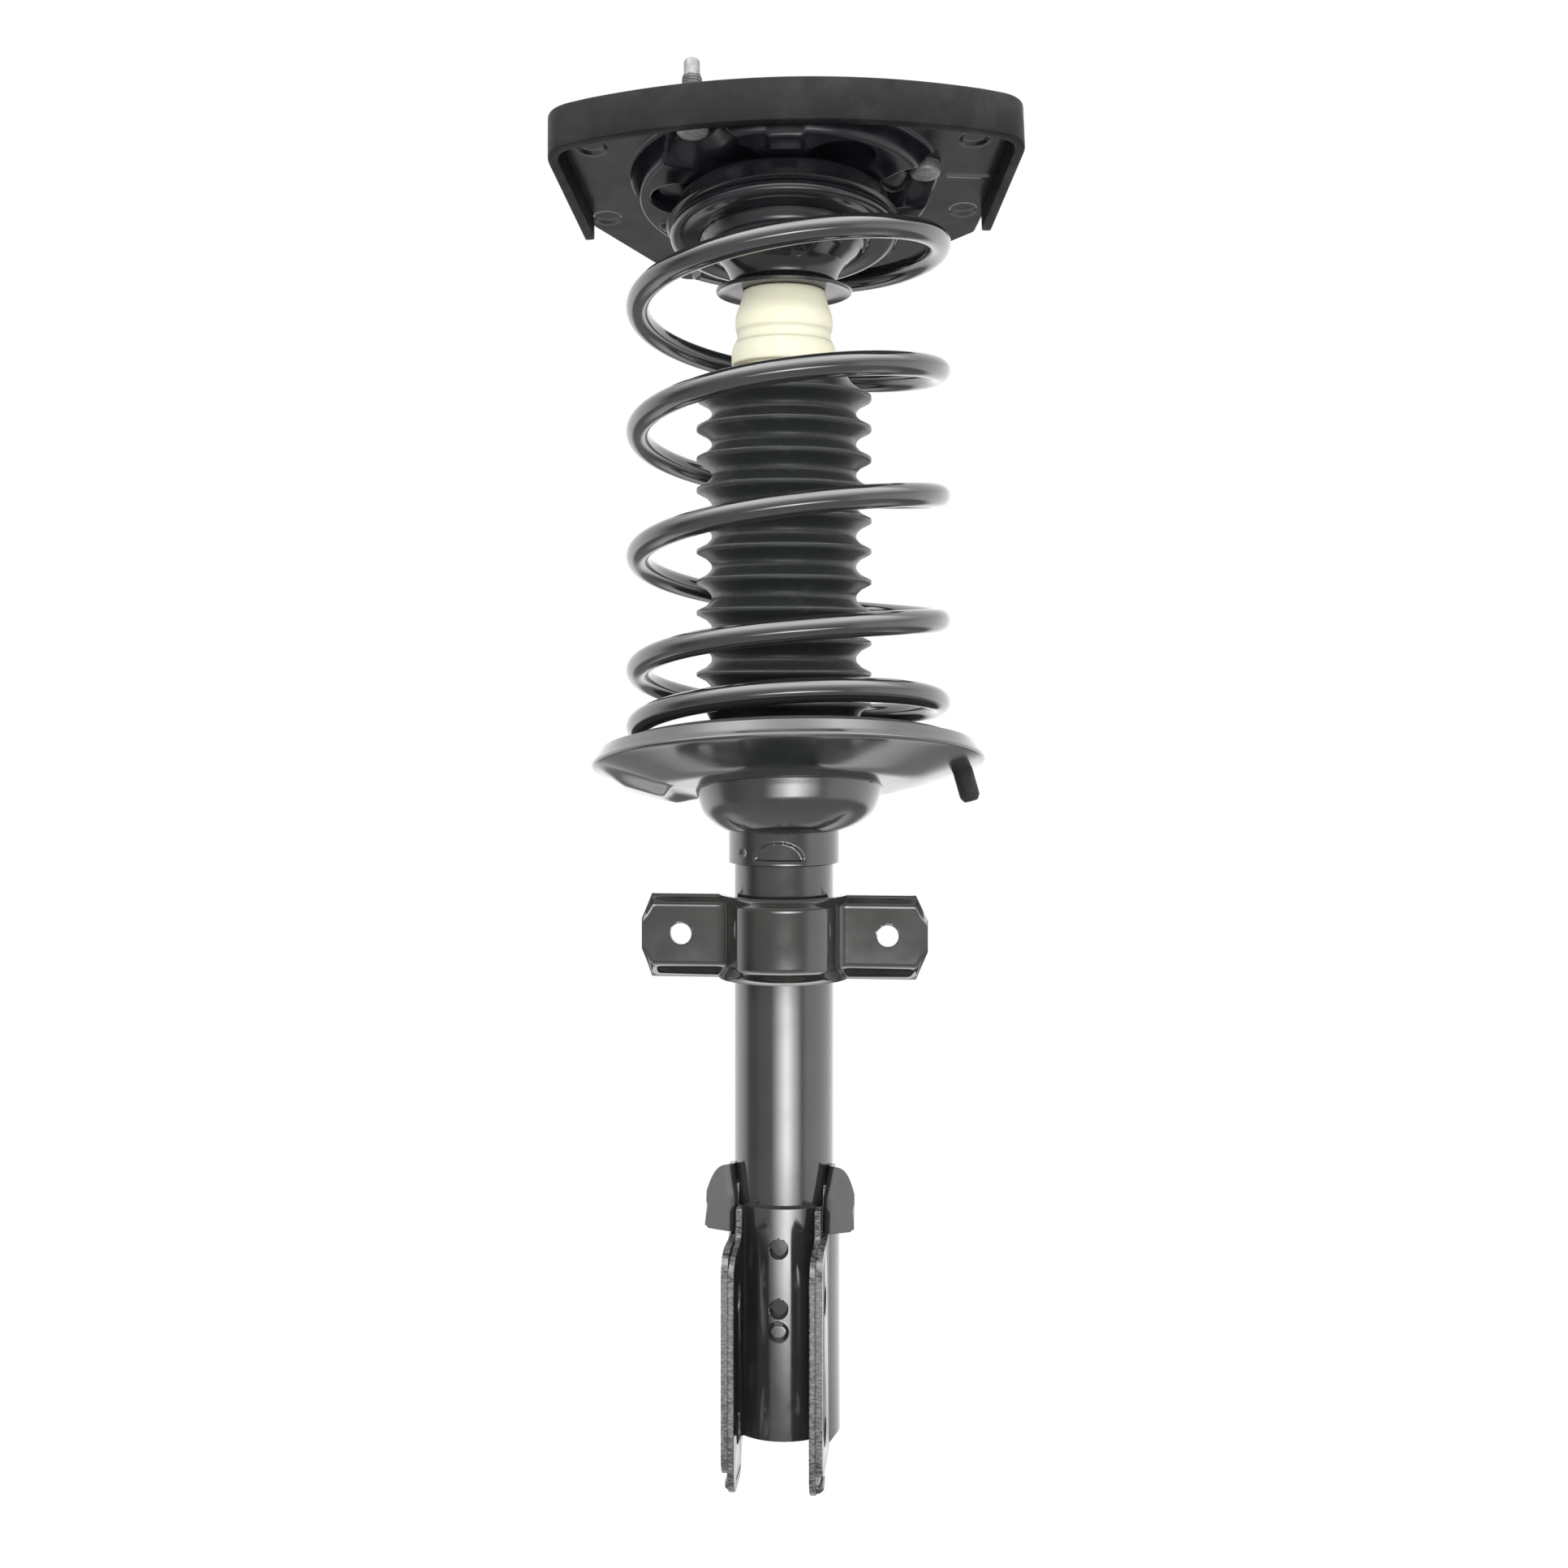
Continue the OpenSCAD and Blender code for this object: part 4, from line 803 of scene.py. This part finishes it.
# ---- Lower rubber seat ring ----
# A moulded ring that lines the dish under the coil. A peg moulded on it goes through a hole in
# the dish and stops the ring from creeping round.
PEG_RING_R = 90.5
turned("seat_ring", round_path([
    (65.5, -8.3, 0), (79.5, -4.3, 0), (94.6, 0.95, 0.6), (93.0, 3.8, 1.5), (88.9, 8, 2),
    (86.3, 11.8, 1.5), (80, 11.3, 3), (74, 11.3, 3), (68.6, 11.9, 1.5), (65.6, 9, 1.5),
    (65.5, -8.3, 0)], 6)[:-1],
       "damper_body", pad_rubber.material, ("lower_insulator",), columns=256, place=SEAT,
       crease=45)
turned("seat_ring_peg", round_path([(0.02, -19.6, 0), (3.6, -19.6, 1), (4.6, -17.8, 0.8), (5.2, -16.8, 0.8),
                                    (5.2, -6, 0.5), (5.2, 1.5, 0), (0.02, 1.5, 0)]),
       "damper_body", pad_rubber.material, ("lower_insulator",), columns=56,
       place=SEAT @ Matrix.Translation((PEG_RING_R, 0, 0)) @ turn("Y", -14), closed=False)

# ---- Hose bracket ----
# A half band welded across the front of the tube, with an ear on each side for the brake hose
# and the sensor lead. Its upper and lower edges are rolled forward.
HOSE_Z = -394.2
HOSE_H = 43.5
HOSE_W = 148.0
HOSE_MM = 3.0
HOSE_FILLET = 7.0
HOSE_HOLE_X = 53.5
ROLL = 5.0
TUBE_R = 25.55


def arc_points(radius, start, end, steps, centre=(0.0, 0.0)):
    angles = [math.radians(start + (end - start) * k / steps) for k in range(steps + 1)]
    return [Vector((centre[0] + radius * math.cos(a), centre[1] + radius * math.sin(a))) for a in angles]


def out_of(path, i):
    """The direction square to the path at one of its points."""
    return side_of(path[min(i + 1, len(path) - 1)], path[max(i - 1, 0)])


def punch(piece, cutters):
    """Cuts bolt holes: each cutter is (centre, direction, radius, length) in mm."""
    for centre, direction, radius, length in cutters:
        mesh = bpy.data.meshes.new("punch")
        work = bmesh.new()
        spin = Vector((0, 0, 1)).rotation_difference(Vector(direction)).to_matrix().to_4x4()
        place = Matrix.Translation(Vector(centre) / 1000) @ spin
        bmesh.ops.create_cone(work, cap_ends=True, segments=72, radius1=radius / 1000,
                              radius2=radius / 1000, depth=length / 1000, matrix=place)
        work.to_mesh(mesh)
        work.free()
        tool = add_object("punch", mesh)
        cut = piece.modifiers.new("punch", "BOOLEAN")
        cut.object = tool
        cut.solver = "EXACT"
        bpy.context.view_layer.update()
        solid = piece.evaluated_get(bpy.context.evaluated_depsgraph_get())
        result = bpy.data.meshes.new_from_object(solid)
        piece.modifiers.remove(cut)
        old = piece.data
        piece.data = result
        bpy.data.meshes.remove(old)
        bpy.data.objects.remove(tool)
        bpy.data.meshes.remove(mesh)


hose_r = TUBE_R + HOSE_MM / 2
centre_x = -math.sqrt((hose_r + HOSE_FILLET) ** 2 - HOSE_FILLET ** 2)
bend = math.degrees(math.atan2(HOSE_FILLET, -centre_x))
ear_line = [HOSE_W / 2 - k * 1.5 for k in range(27)]
hose_line = [Vector((-x, 0)) for x in ear_line]
hose_line += arc_points(HOSE_FILLET, 90, bend, 12, (centre_x, -HOSE_FILLET))[1:]
hose_line += arc_points(hose_r, 180 + bend, 360 - bend, 72)[1:-1]
hose_line += arc_points(HOSE_FILLET, 180 - bend, 90, 12, (-centre_x, -HOSE_FILLET))
hose_line += [Vector((x, 0)) for x in reversed(ear_line)]
hose_rows = [k / 20 - 1 for k in range(41)]
hose_points = []
for face, levels in ((-1, hose_rows), (1, hose_rows[::-1])):
    for level in levels:
        for i, p in enumerate(hose_line):
            end = (HOSE_W / 2 - abs(p.x)) if abs(p.x) > 30 else 40.0
            half = HOSE_H / 2 - 13.5 * (1 - min(end / 6.0, 1.0)) - 0.4
            z = level * half
            curl = (1 - ease(0.0, 6.0, half - abs(z))) * ease(1.0, 9.0, end)
            spot = p + out_of(hose_line, i) * (ROLL * curl + face * HOSE_MM / 2)
            hose_points.append((spot.x, spot.y, HOSE_Z + z))
hose_black = dip_coat("hose_dip_coat", (0.012, 0.013, 0.011), (0.022, 0.023, 0.019), 0.07, 0.13)
hose = make_piece("hose_bracket_strip", hose_points, capped_sheet(2 * len(hose_rows), len(hose_line)),
                  "damper_body", hose_black, ("hose_bracket",), crease=35)
punch(hose, [((side * HOSE_HOLE_X, 0, HOSE_Z), (0, 1, 0), 5.5, 40) for side in (-1, 1)])
break_edges(hose, 0.5, 50)

# ---- Knuckle bracket ----
# Two layers of 3.2 mm steel welded to the tube's foot: the outer one wraps the back and runs
# forward as two flanges, the inner one is a web round the front that lines them. Two bolts
# through the flanges hold the wheel knuckle. The outer layer's top corners flare out as lips.
LAYER = 3.2
FLANGE_REACH = 62.0
FLANGE_LOW = -658.5
OUTER_LOW = FLANGE_LOW + 8.5
OUTER_X = 21.4 + LAYER / 2
INNER_X = 18.2 + LAYER / 2
LINER_X = INNER_X - 0.05
WRAP_TOP = -516.0
BOLT_HEIGHTS = (-631.5, -567.5)
LIP_LOW = -541.0
LIP_ROOT = -24.9
LIP_LEAN = 0.36
BEND_R = 4.0
WEB_TOP = -528.0
WEB_LOW = -644.0
SIDES_OF_TUBE = ((-1, "left"), (1, "right"))
knuckle_black = dip_coat("knuckle_dip_coat", (0.014, 0.015, 0.015), (0.024, 0.026, 0.026), 0.08, 0.16)
# Finish for the sheared edges. Its lighter grey streaks are painted sheen: they stand in for the broad
# reflections these rough, rounded edges catch, over a near-black base. The streaky roughness and bump are
# the edges' own texture.
edge_steel_and_sheen = Finish("sheared_edge_painted_sheen", IOR=1.9)
streaks_and_sheen = edge_steel_and_sheen.noise(1.8, 3, stretch=(0.7, 0.7, 2.0), rough=0.6)
edge_steel_and_sheen.set_colour(edge_steel_and_sheen.spread(streaks_and_sheen, 0.42, 0.66), (0.008, 0.008, 0.009), (0.16, 0.16, 0.165))
edge_steel_and_sheen.set_roughness(streaks_and_sheen, 0.2, 0.45)
edge_steel_and_sheen.bump((streaks_and_sheen, 0.1, 0.5))


def span_at(outline, y):
    """Lowest and highest point of a side outline at one depth."""
    heights = []
    for i, start in enumerate(outline):
        end = outline[(i + 1) % len(outline)]
        if abs(end.x - start.x) > 1e-9 and min(start.x, end.x) - 1e-6 <= y <= max(start.x, end.x) + 1e-6:
            share = (y - start.x) / (end.x - start.x)
            heights.append(start.y + (end.y - start.y) * share)
    return min(heights), max(heights)


def wrapped_layer(name, plan, outline, rows, replaced, shape=None):
    """A sheet that follows plan seen from above and outline seen from the side."""
    points = []
    spans = []
    for i, p in enumerate(plan):
        spans.append((p, out_of(plan, i), *span_at(outline, p.y)))
    for face in (-1, 1):
        for row in (range(rows) if face < 0 else reversed(range(rows))):
            share = row / (rows - 1)
            for p, out, low, high in spans:
                spot = p + out * face * LAYER / 2
                z = low + (high - low) * share
                if shape:
                    spot = spot + out * shape(p, z)
                points.append((spot.x, spot.y, z))
    return make_piece(name, points, capped_sheet(rows * 2, len(plan)), "damper_body",
                      knuckle_black, replaced, crease=35)


def flange_plate(name, outline, x, replaced):
    """A flat flange: the outline is given in depth and height."""
    count = len(outline)
    points = [(x + face * LAYER / 2, p.x, p.y) for face in (-1, 1) for p in outline]
    faces = [tuple(range(count)), tuple(range(count, 2 * count))]
    faces += [(k, (k + 1) % count, count + (k + 1) % count, count + k) for k in range(count)]
    plate = make_piece(name, points, faces, "damper_body", knuckle_black, replaced,
                       crease=30)
    plate.data.materials.append(edge_steel_and_sheen.material)
    # Faces that run across the plate are its sheared edges; they take the edge finish with painted sheen.
    for face in plate.data.polygons:
        if abs(face.normal.x) < 0.5:
            face.material_index = 1
    punch(plate, [((x, -45, z), (1, 0, 0), 7.15, 20) for z in BOLT_HEIGHTS])
    break_edges(plate, 0.6, 50)


layer_r = TUBE_R + LAYER / 2
turn_in = math.degrees(math.acos(OUTER_X / layer_r))
outer_arc = arc_points(layer_r, -turn_in, 180 + turn_in, 120)
start_y = outer_arc[0].y
wrap_outline = closed_loop([
    (60, WRAP_TOP - 6, 0), (60, -647, 0), (-10, -647, 3), (-16, OUTER_LOW, 3), (-40, OUTER_LOW, 0),
    (-40, LIP_LOW, 0), (-22, LIP_LOW, 0), (-12, WRAP_TOP, 3), (4, WRAP_TOP, 2)], 10)
outer_layer = wrapped_layer("knuckle_bracket_wrap", outer_arc, wrap_outline, 48, ("knuckle_bracket_outer",))
punch(outer_layer, [((25, 0, -545), (1, 0, 0), 2.0, 14)])
break_edges(outer_layer, 0.5, 50)
outer_flange = closed_loop([
    (start_y, -648, 0), (-16, OUTER_LOW, 3), (-FLANGE_REACH, OUTER_LOW, 12), (-FLANGE_REACH, LIP_LOW, 14),
    (-27, LIP_LOW - 1, 6), (-22, LIP_LOW, 2), (start_y, -519, 0)], 10)
for side, label in SIDES_OF_TUBE:
    flange_plate(f"knuckle_flange_{label}", outer_flange, side * OUTER_X, ("knuckle_bracket_outer",))


def thick_sheet(name, grid, replaced):
    """A closed sheet, one layer thick, round a grid of points that lie on its middle."""
    rows, columns = len(grid), len(grid[0])
    outs = []
    for i in range(rows):
        for k in range(columns):
            down = grid[min(i + 1, rows - 1)][k] - grid[max(i - 1, 0)][k]
            across = grid[i][min(k + 1, columns - 1)] - grid[i][max(k - 1, 0)]
            outs.append(down.cross(across).normalized() * LAYER / 2)
    flat = [point for row in grid for point in row]
    points = [p + o for p, o in zip(flat, outs)]
    for i in reversed(range(rows)):
        points += [flat[i * columns + k] - outs[i * columns + k] for k in range(columns)]
    return make_piece(name, points, capped_sheet(rows * 2, columns), "damper_body",
                      knuckle_black, replaced, crease=40)


def lip_edge(v):
    """How far out the lip's free edge lies, from its lower end (0) to its upper end (1)."""
    return 37.5 - 1.6 * (1 - ease(0.0, 0.2, v)) - 0.8 * math.sin(math.pi * ease(0.45, 0.95, v)) ** 2


for side, label in SIDES_OF_TUBE:
    lip_grid = []
    for row in range(41):
        v = row / 40
        root_y = LIP_ROOT + LIP_LEAN * 29 * v
        root_x = math.sqrt(max(layer_r ** 2 - (root_y + 5) ** 2, OUTER_X ** 2))
        bend_angles = [math.radians(9 * k) for k in range(11)]
        section = [(root_x, 8.0), (root_x, 6.0)]
        section += [(root_x + BEND_R * (1 - math.cos(a)), BEND_R * (1 - math.sin(a))) for a in bend_angles]
        free = lip_edge(v) - root_x - BEND_R
        section += [(root_x + BEND_R + free * k / 18, 0.0) for k in range(1, 19)]
        line = []
        for x, back in section:
            out = max(x - root_x, 0.0) / 12.5
            low = LIP_LOW + 1.5 * out
            high = LIP_LOW + 31.0 - 14.0 * min(out, 1.2) ** 3.4
            z = low + (high - low) * v
            line.append(Vector((side * x, LIP_ROOT + LIP_LEAN * (z - LIP_LOW) + back, z)))
        lip_grid.append(line)
    lip = thick_sheet(f"knuckle_lip_{label}", lip_grid, ("knuckle_bracket_outer",))
    break_edges(lip, 0.6, 55)

web_in = math.degrees(math.acos(INNER_X / layer_r))
web_arc = arc_points(layer_r, 180 + web_in, 360 - web_in, 120)
web_outline = closed_loop([(0, WEB_TOP, 0), (0, WEB_LOW, 0), (-40, WEB_LOW, 0), (-40, WEB_TOP, 0)], 10)
web = wrapped_layer("knuckle_bracket_web", web_arc, web_outline, 140, ("knuckle_bracket_inner",),
                    shape=lambda p, z: 0.7 * (1 - ease(3.7, 4.7, math.hypot(p.x, z + 589))))
punch(web, [((0, -27, z), (0, 1, 0), 5.0, 14) for z in (-548, -578)])
break_edges(web, 0.5, 50)
web_edge = web_arc[0].y
liner_outline = closed_loop([
    (web_edge, WEB_TOP, 0), (web_edge, WEB_LOW, 0), (-30, WEB_LOW, 2), (-34, FLANGE_LOW, 5),
    (-FLANGE_REACH - 1.5, FLANGE_LOW, 12), (-FLANGE_REACH - 1.5, -545, 12), (-31.5, -542, 3),
    (-29.5, WEB_TOP, 1)], 10)
curl_angles = [math.radians(15 * k) for k in range(1, 7)]
curl_line = [(0.0, 5.0), (0.0, LAYER)]
curl_line += [(LAYER * (1 - math.cos(a)), LAYER * (1 - math.sin(a))) for a in curl_angles]
curl_line += [(4.6, 0.0)]
curl_path = [Vector((LINER_X + x, FLANGE_LOW + LAYER / 2 + z)) for x, z in curl_line]
curl_loop = sheet_loop(curl_path, LAYER, 0.5)
for side, label in SIDES_OF_TUBE:
    flange_plate(f"knuckle_liner_{label}", liner_outline, side * LINER_X, ("knuckle_bracket_inner",))
    points = []
    for k in range(17):
        y = -53.0 + k * 17.0 / 16
        trim = 1 - 0.55 * (abs(k / 8 - 1) ** 6)
        for p in curl_loop:
            reach = (p.x - INNER_X) * (trim if p.x > INNER_X + 1.6 else 1.0)
            points.append((side * (INNER_X + reach), y, max(p.y, FLANGE_LOW)))
    make_piece(f"knuckle_curl_{label}", points, capped_tube(17, len(curl_loop)), "damper_body",
               knuckle_black, ("knuckle_bracket_inner",), crease=50)

# ---- Floor, light and camera ----
# A pale floor in a white room with two soft boxes. What the glossy paint reflects is looked up by
# direction: a bright box in front, dark flags on both sides of it and pale walls behind.
floor_mesh = bpy.data.meshes.new("floor")
floor_work = bmesh.new()
bmesh.ops.create_grid(floor_work, x_segments=8, y_segments=8, size=9)
bmesh.ops.translate(floor_work, verts=floor_work.verts, vec=(0, 0, -0.86))
floor_work.to_mesh(floor_mesh)
floor_work.free()
floor = add_object("floor", floor_mesh)
floor_paint = Finish("floor_paint", Roughness=0.6)
floor_paint.set_colour(floor_paint.noise(60, 2), (0.88, 0.88, 0.88), (0.9, 0.9, 0.9))
paths = floor_paint.nodes.new("ShaderNodeLightPath")
white = floor_paint.nodes.new("ShaderNodeEmission")
white.inputs["Strength"].default_value = 1.03
seen = floor_paint.nodes.new("ShaderNodeMath")
seen.operation = "MULTIPLY"
seen.inputs[1].default_value = 0.9
mixed = floor_paint.nodes.new("ShaderNodeMixShader")
floor_paint.links.new(paths.outputs["Is Camera Ray"], seen.inputs[0])
floor_paint.links.new(seen.outputs[0], mixed.inputs[0])
floor_paint.links.new(floor_paint.shader.outputs[0], mixed.inputs[1])
floor_paint.links.new(white.outputs[0], mixed.inputs[2])
floor_paint.links.new(mixed.outputs[0], floor_paint.nodes["Material Output"].inputs["Surface"])
floor_mesh.materials.append(floor_paint.material)
floor.visible_glossy = False

VIEW_TURN = math.radians(5.6)
CAMERA_AWAY = 0.9255
world = bpy.data.worlds.new("studio")
bpy.context.scene.world = world
world.use_nodes = True
sky = world.node_tree.nodes
join_up = world.node_tree.links.new
sky.clear()
direction = sky.new("ShaderNodeTexCoord").outputs["Generated"]
split = sky.new("ShaderNodeSeparateXYZ")
join_up(direction, split.inputs[0])


def sky_math(operation, *values):
    node = sky.new("ShaderNodeMath")
    node.operation = operation
    for i, value in enumerate(values):
        if isinstance(value, (int, float)):
            node.inputs[i].default_value = value
        else:
            join_up(value, node.inputs[i])
    return node.outputs[0]


def sky_step(value, low, high, start, end):
    node = sky.new("ShaderNodeMapRange")
    node.interpolation_type = "SMOOTHSTEP"
    for socket, number in zip(("From Min", "From Max", "To Min", "To Max"), (low, high, start, end)):
        node.inputs[socket].default_value = number
    join_up(value, node.inputs["Value"])
    return node.outputs["Result"]


across = sky_math("ADD", sky_math("MULTIPLY", split.outputs[0], math.cos(VIEW_TURN)),
                  sky_math("MULTIPLY", split.outputs[1], math.sin(VIEW_TURN)))
ahead = sky_math("ADD", sky_math("MULTIPLY", split.outputs[0], math.sin(VIEW_TURN)),
                 sky_math("MULTIPLY", split.outputs[1], -math.cos(VIEW_TURN)))
bearing = sky_math("MULTIPLY", sky_math("ARCTAN2", across, ahead), 180 / math.pi)
height = split.outputs[2]


def sky_table(value, low, high, stops):
    """Brightness looked up along value; stops are (value, brightness)."""
    ramp = sky.new("ShaderNodeValToRGB")
    join_up(sky_math("DIVIDE", sky_math("SUBTRACT", value, low), high - low), ramp.inputs[0])
    marks = ramp.color_ramp.elements
    while len(marks) < len(stops):
        marks.new(0.5)
    for mark, (place, level) in zip(marks, stops):
        mark.position = (place - low) / (high - low)
        mark.color = (level / SKY_TOP, level / SKY_TOP, level / SKY_TOP, 1)
    return sky_math("MULTIPLY", ramp.outputs[0], SKY_TOP)


def sky_pick(share, first, second):
    """One level or the other, each a number or a socket, by the kind of ray."""
    node = sky.new("ShaderNodeMix")
    node.data_type = "FLOAT"
    join_up(share, node.inputs[0])
    for socket, value in ((node.inputs[2], first), (node.inputs[3], second)):
        if isinstance(value, float):
            socket.default_value = value
        else:
            join_up(value, socket)
    return node.outputs[0]


def sky_blend(share, first, second):
    return sky_math("ADD", sky_math("MULTIPLY", first, sky_math("SUBTRACT", 1.0, share)),
                    sky_math("MULTIPLY", second, share))


SKY_TOP = 8.0
ROOM_LEVEL = 0.92
front = sky_table(height, -1, 1, [
    (-1.0, 0.8), (-0.96, 0.6), (-0.77, 0.5), (-0.57, 0.5), (-0.42, 0.45), (0.05, 0.7),
    (0.3, 0.9), (0.42, 1.4), (0.52, 1.9), (0.64, 3.0), (0.73, 4.0), (0.88, 4.6), (0.96, 4.2), (1.0, 2.2)])
around = sky_table(height, -1, 1, [
    (-1.0, 1.0), (-0.85, 1.3), (-0.74, 1.4), (-0.6, 0.35), (-0.45, 0.3), (-0.3, 1.1), (0.0, 1.4),
    (0.4, 1.2), (0.8, 1.4), (1.0, 2.2)])
beside = sky_step(sky_math("ABSOLUTE", bearing), 88, 118, 0.0, 1.0)
level = sky_table(bearing, -180, 180, [
    (-180, 1.3), (-150, 1.3), (-129, 1.5), (-113, 1.4), (-101, 1.1), (-90, 0.45), (-79, 0.14), (-70, 0.24),
    (-61, 0.4), (-44, 0.5), (0, 0.6), (34, 0.45), (44, 0.65), (54, 1.1), (84, 1.25), (107, 1.4), (121, 1.5),
    (138, 1.6), (180, 1.3)])
box = sky_table(bearing, -180, 180, [
    (-36, 0.3), (-28, 0.7), (-21, 1.9), (-13, 3.7), (-5.6, 5.6), (2, 7.6), (9.4, 7.8), (17, 5.8),
    (24.6, 3.8), (32, 2.4), (40, 0.8), (46, 0.4)])
near_level = sky_math("MULTIPLY", sky_step(height, -0.45, -0.3, 0.0, 1.0),
                      sky_step(height, 0.05, 0.3, 1.0, 0.0))
box_level = sky_math("MULTIPLY", sky_step(height, -0.355, -0.3, 0.0, 1.0),
                     sky_step(height, -0.175, -0.145, 1.0, 0.0))
studio = sky_math("MAXIMUM", sky_blend(near_level, sky_blend(beside, front, around), level),
                  sky_math("MULTIPLY", box, box_level))
ray = sky.new("ShaderNodeLightPath").outputs
room = sky_pick(ray["Is Glossy Ray"], ROOM_LEVEL, studio)
seen_through = sky_math("MAXIMUM", ray["Is Camera Ray"], ray["Is Transmission Ray"])
glow = sky.new("ShaderNodeBackground")
glow.inputs["Color"].default_value = (1, 1, 1, 1)
join_up(sky_pick(seen_through, room, 1.0), glow.inputs["Strength"])
join_up(glow.outputs[0], sky.new("ShaderNodeOutputWorld").inputs["Surface"])


def soft_box(name, place, aim, size, power):
    data = bpy.data.lights.new(name, "AREA")
    data.shape = "RECTANGLE"
    data.size, data.size_y = size
    data.energy = power
    lamp = add_object(name, data)
    lamp.location = place
    lamp.rotation_euler = (Vector(aim) - Vector(place)).to_track_quat("-Z", "Y").to_euler()
    lamp.visible_camera = False
    lamp.visible_glossy = False


soft_box("front_box", (0.35, -2.2, 0.1), (0, 0, -0.33), (0.9, 1.2), 22)
soft_box("top_box", (-0.4, -0.6, 1.7), (0, 0, -0.2), (1.4, 1.4), 20)

camera_data = bpy.data.cameras.new("camera")
camera_data.lens = 41.22
camera_data.sensor_width = 36
camera_data.shift_y = -0.0497
camera = add_object("camera", camera_data)
camera.location = (CAMERA_AWAY * math.sin(VIEW_TURN), -CAMERA_AWAY * math.cos(VIEW_TURN), -0.2764)
camera.rotation_euler = (math.radians(90), 0, VIEW_TURN)
bpy.context.scene.camera = camera
bpy.context.scene.view_settings.view_transform = "Standard"
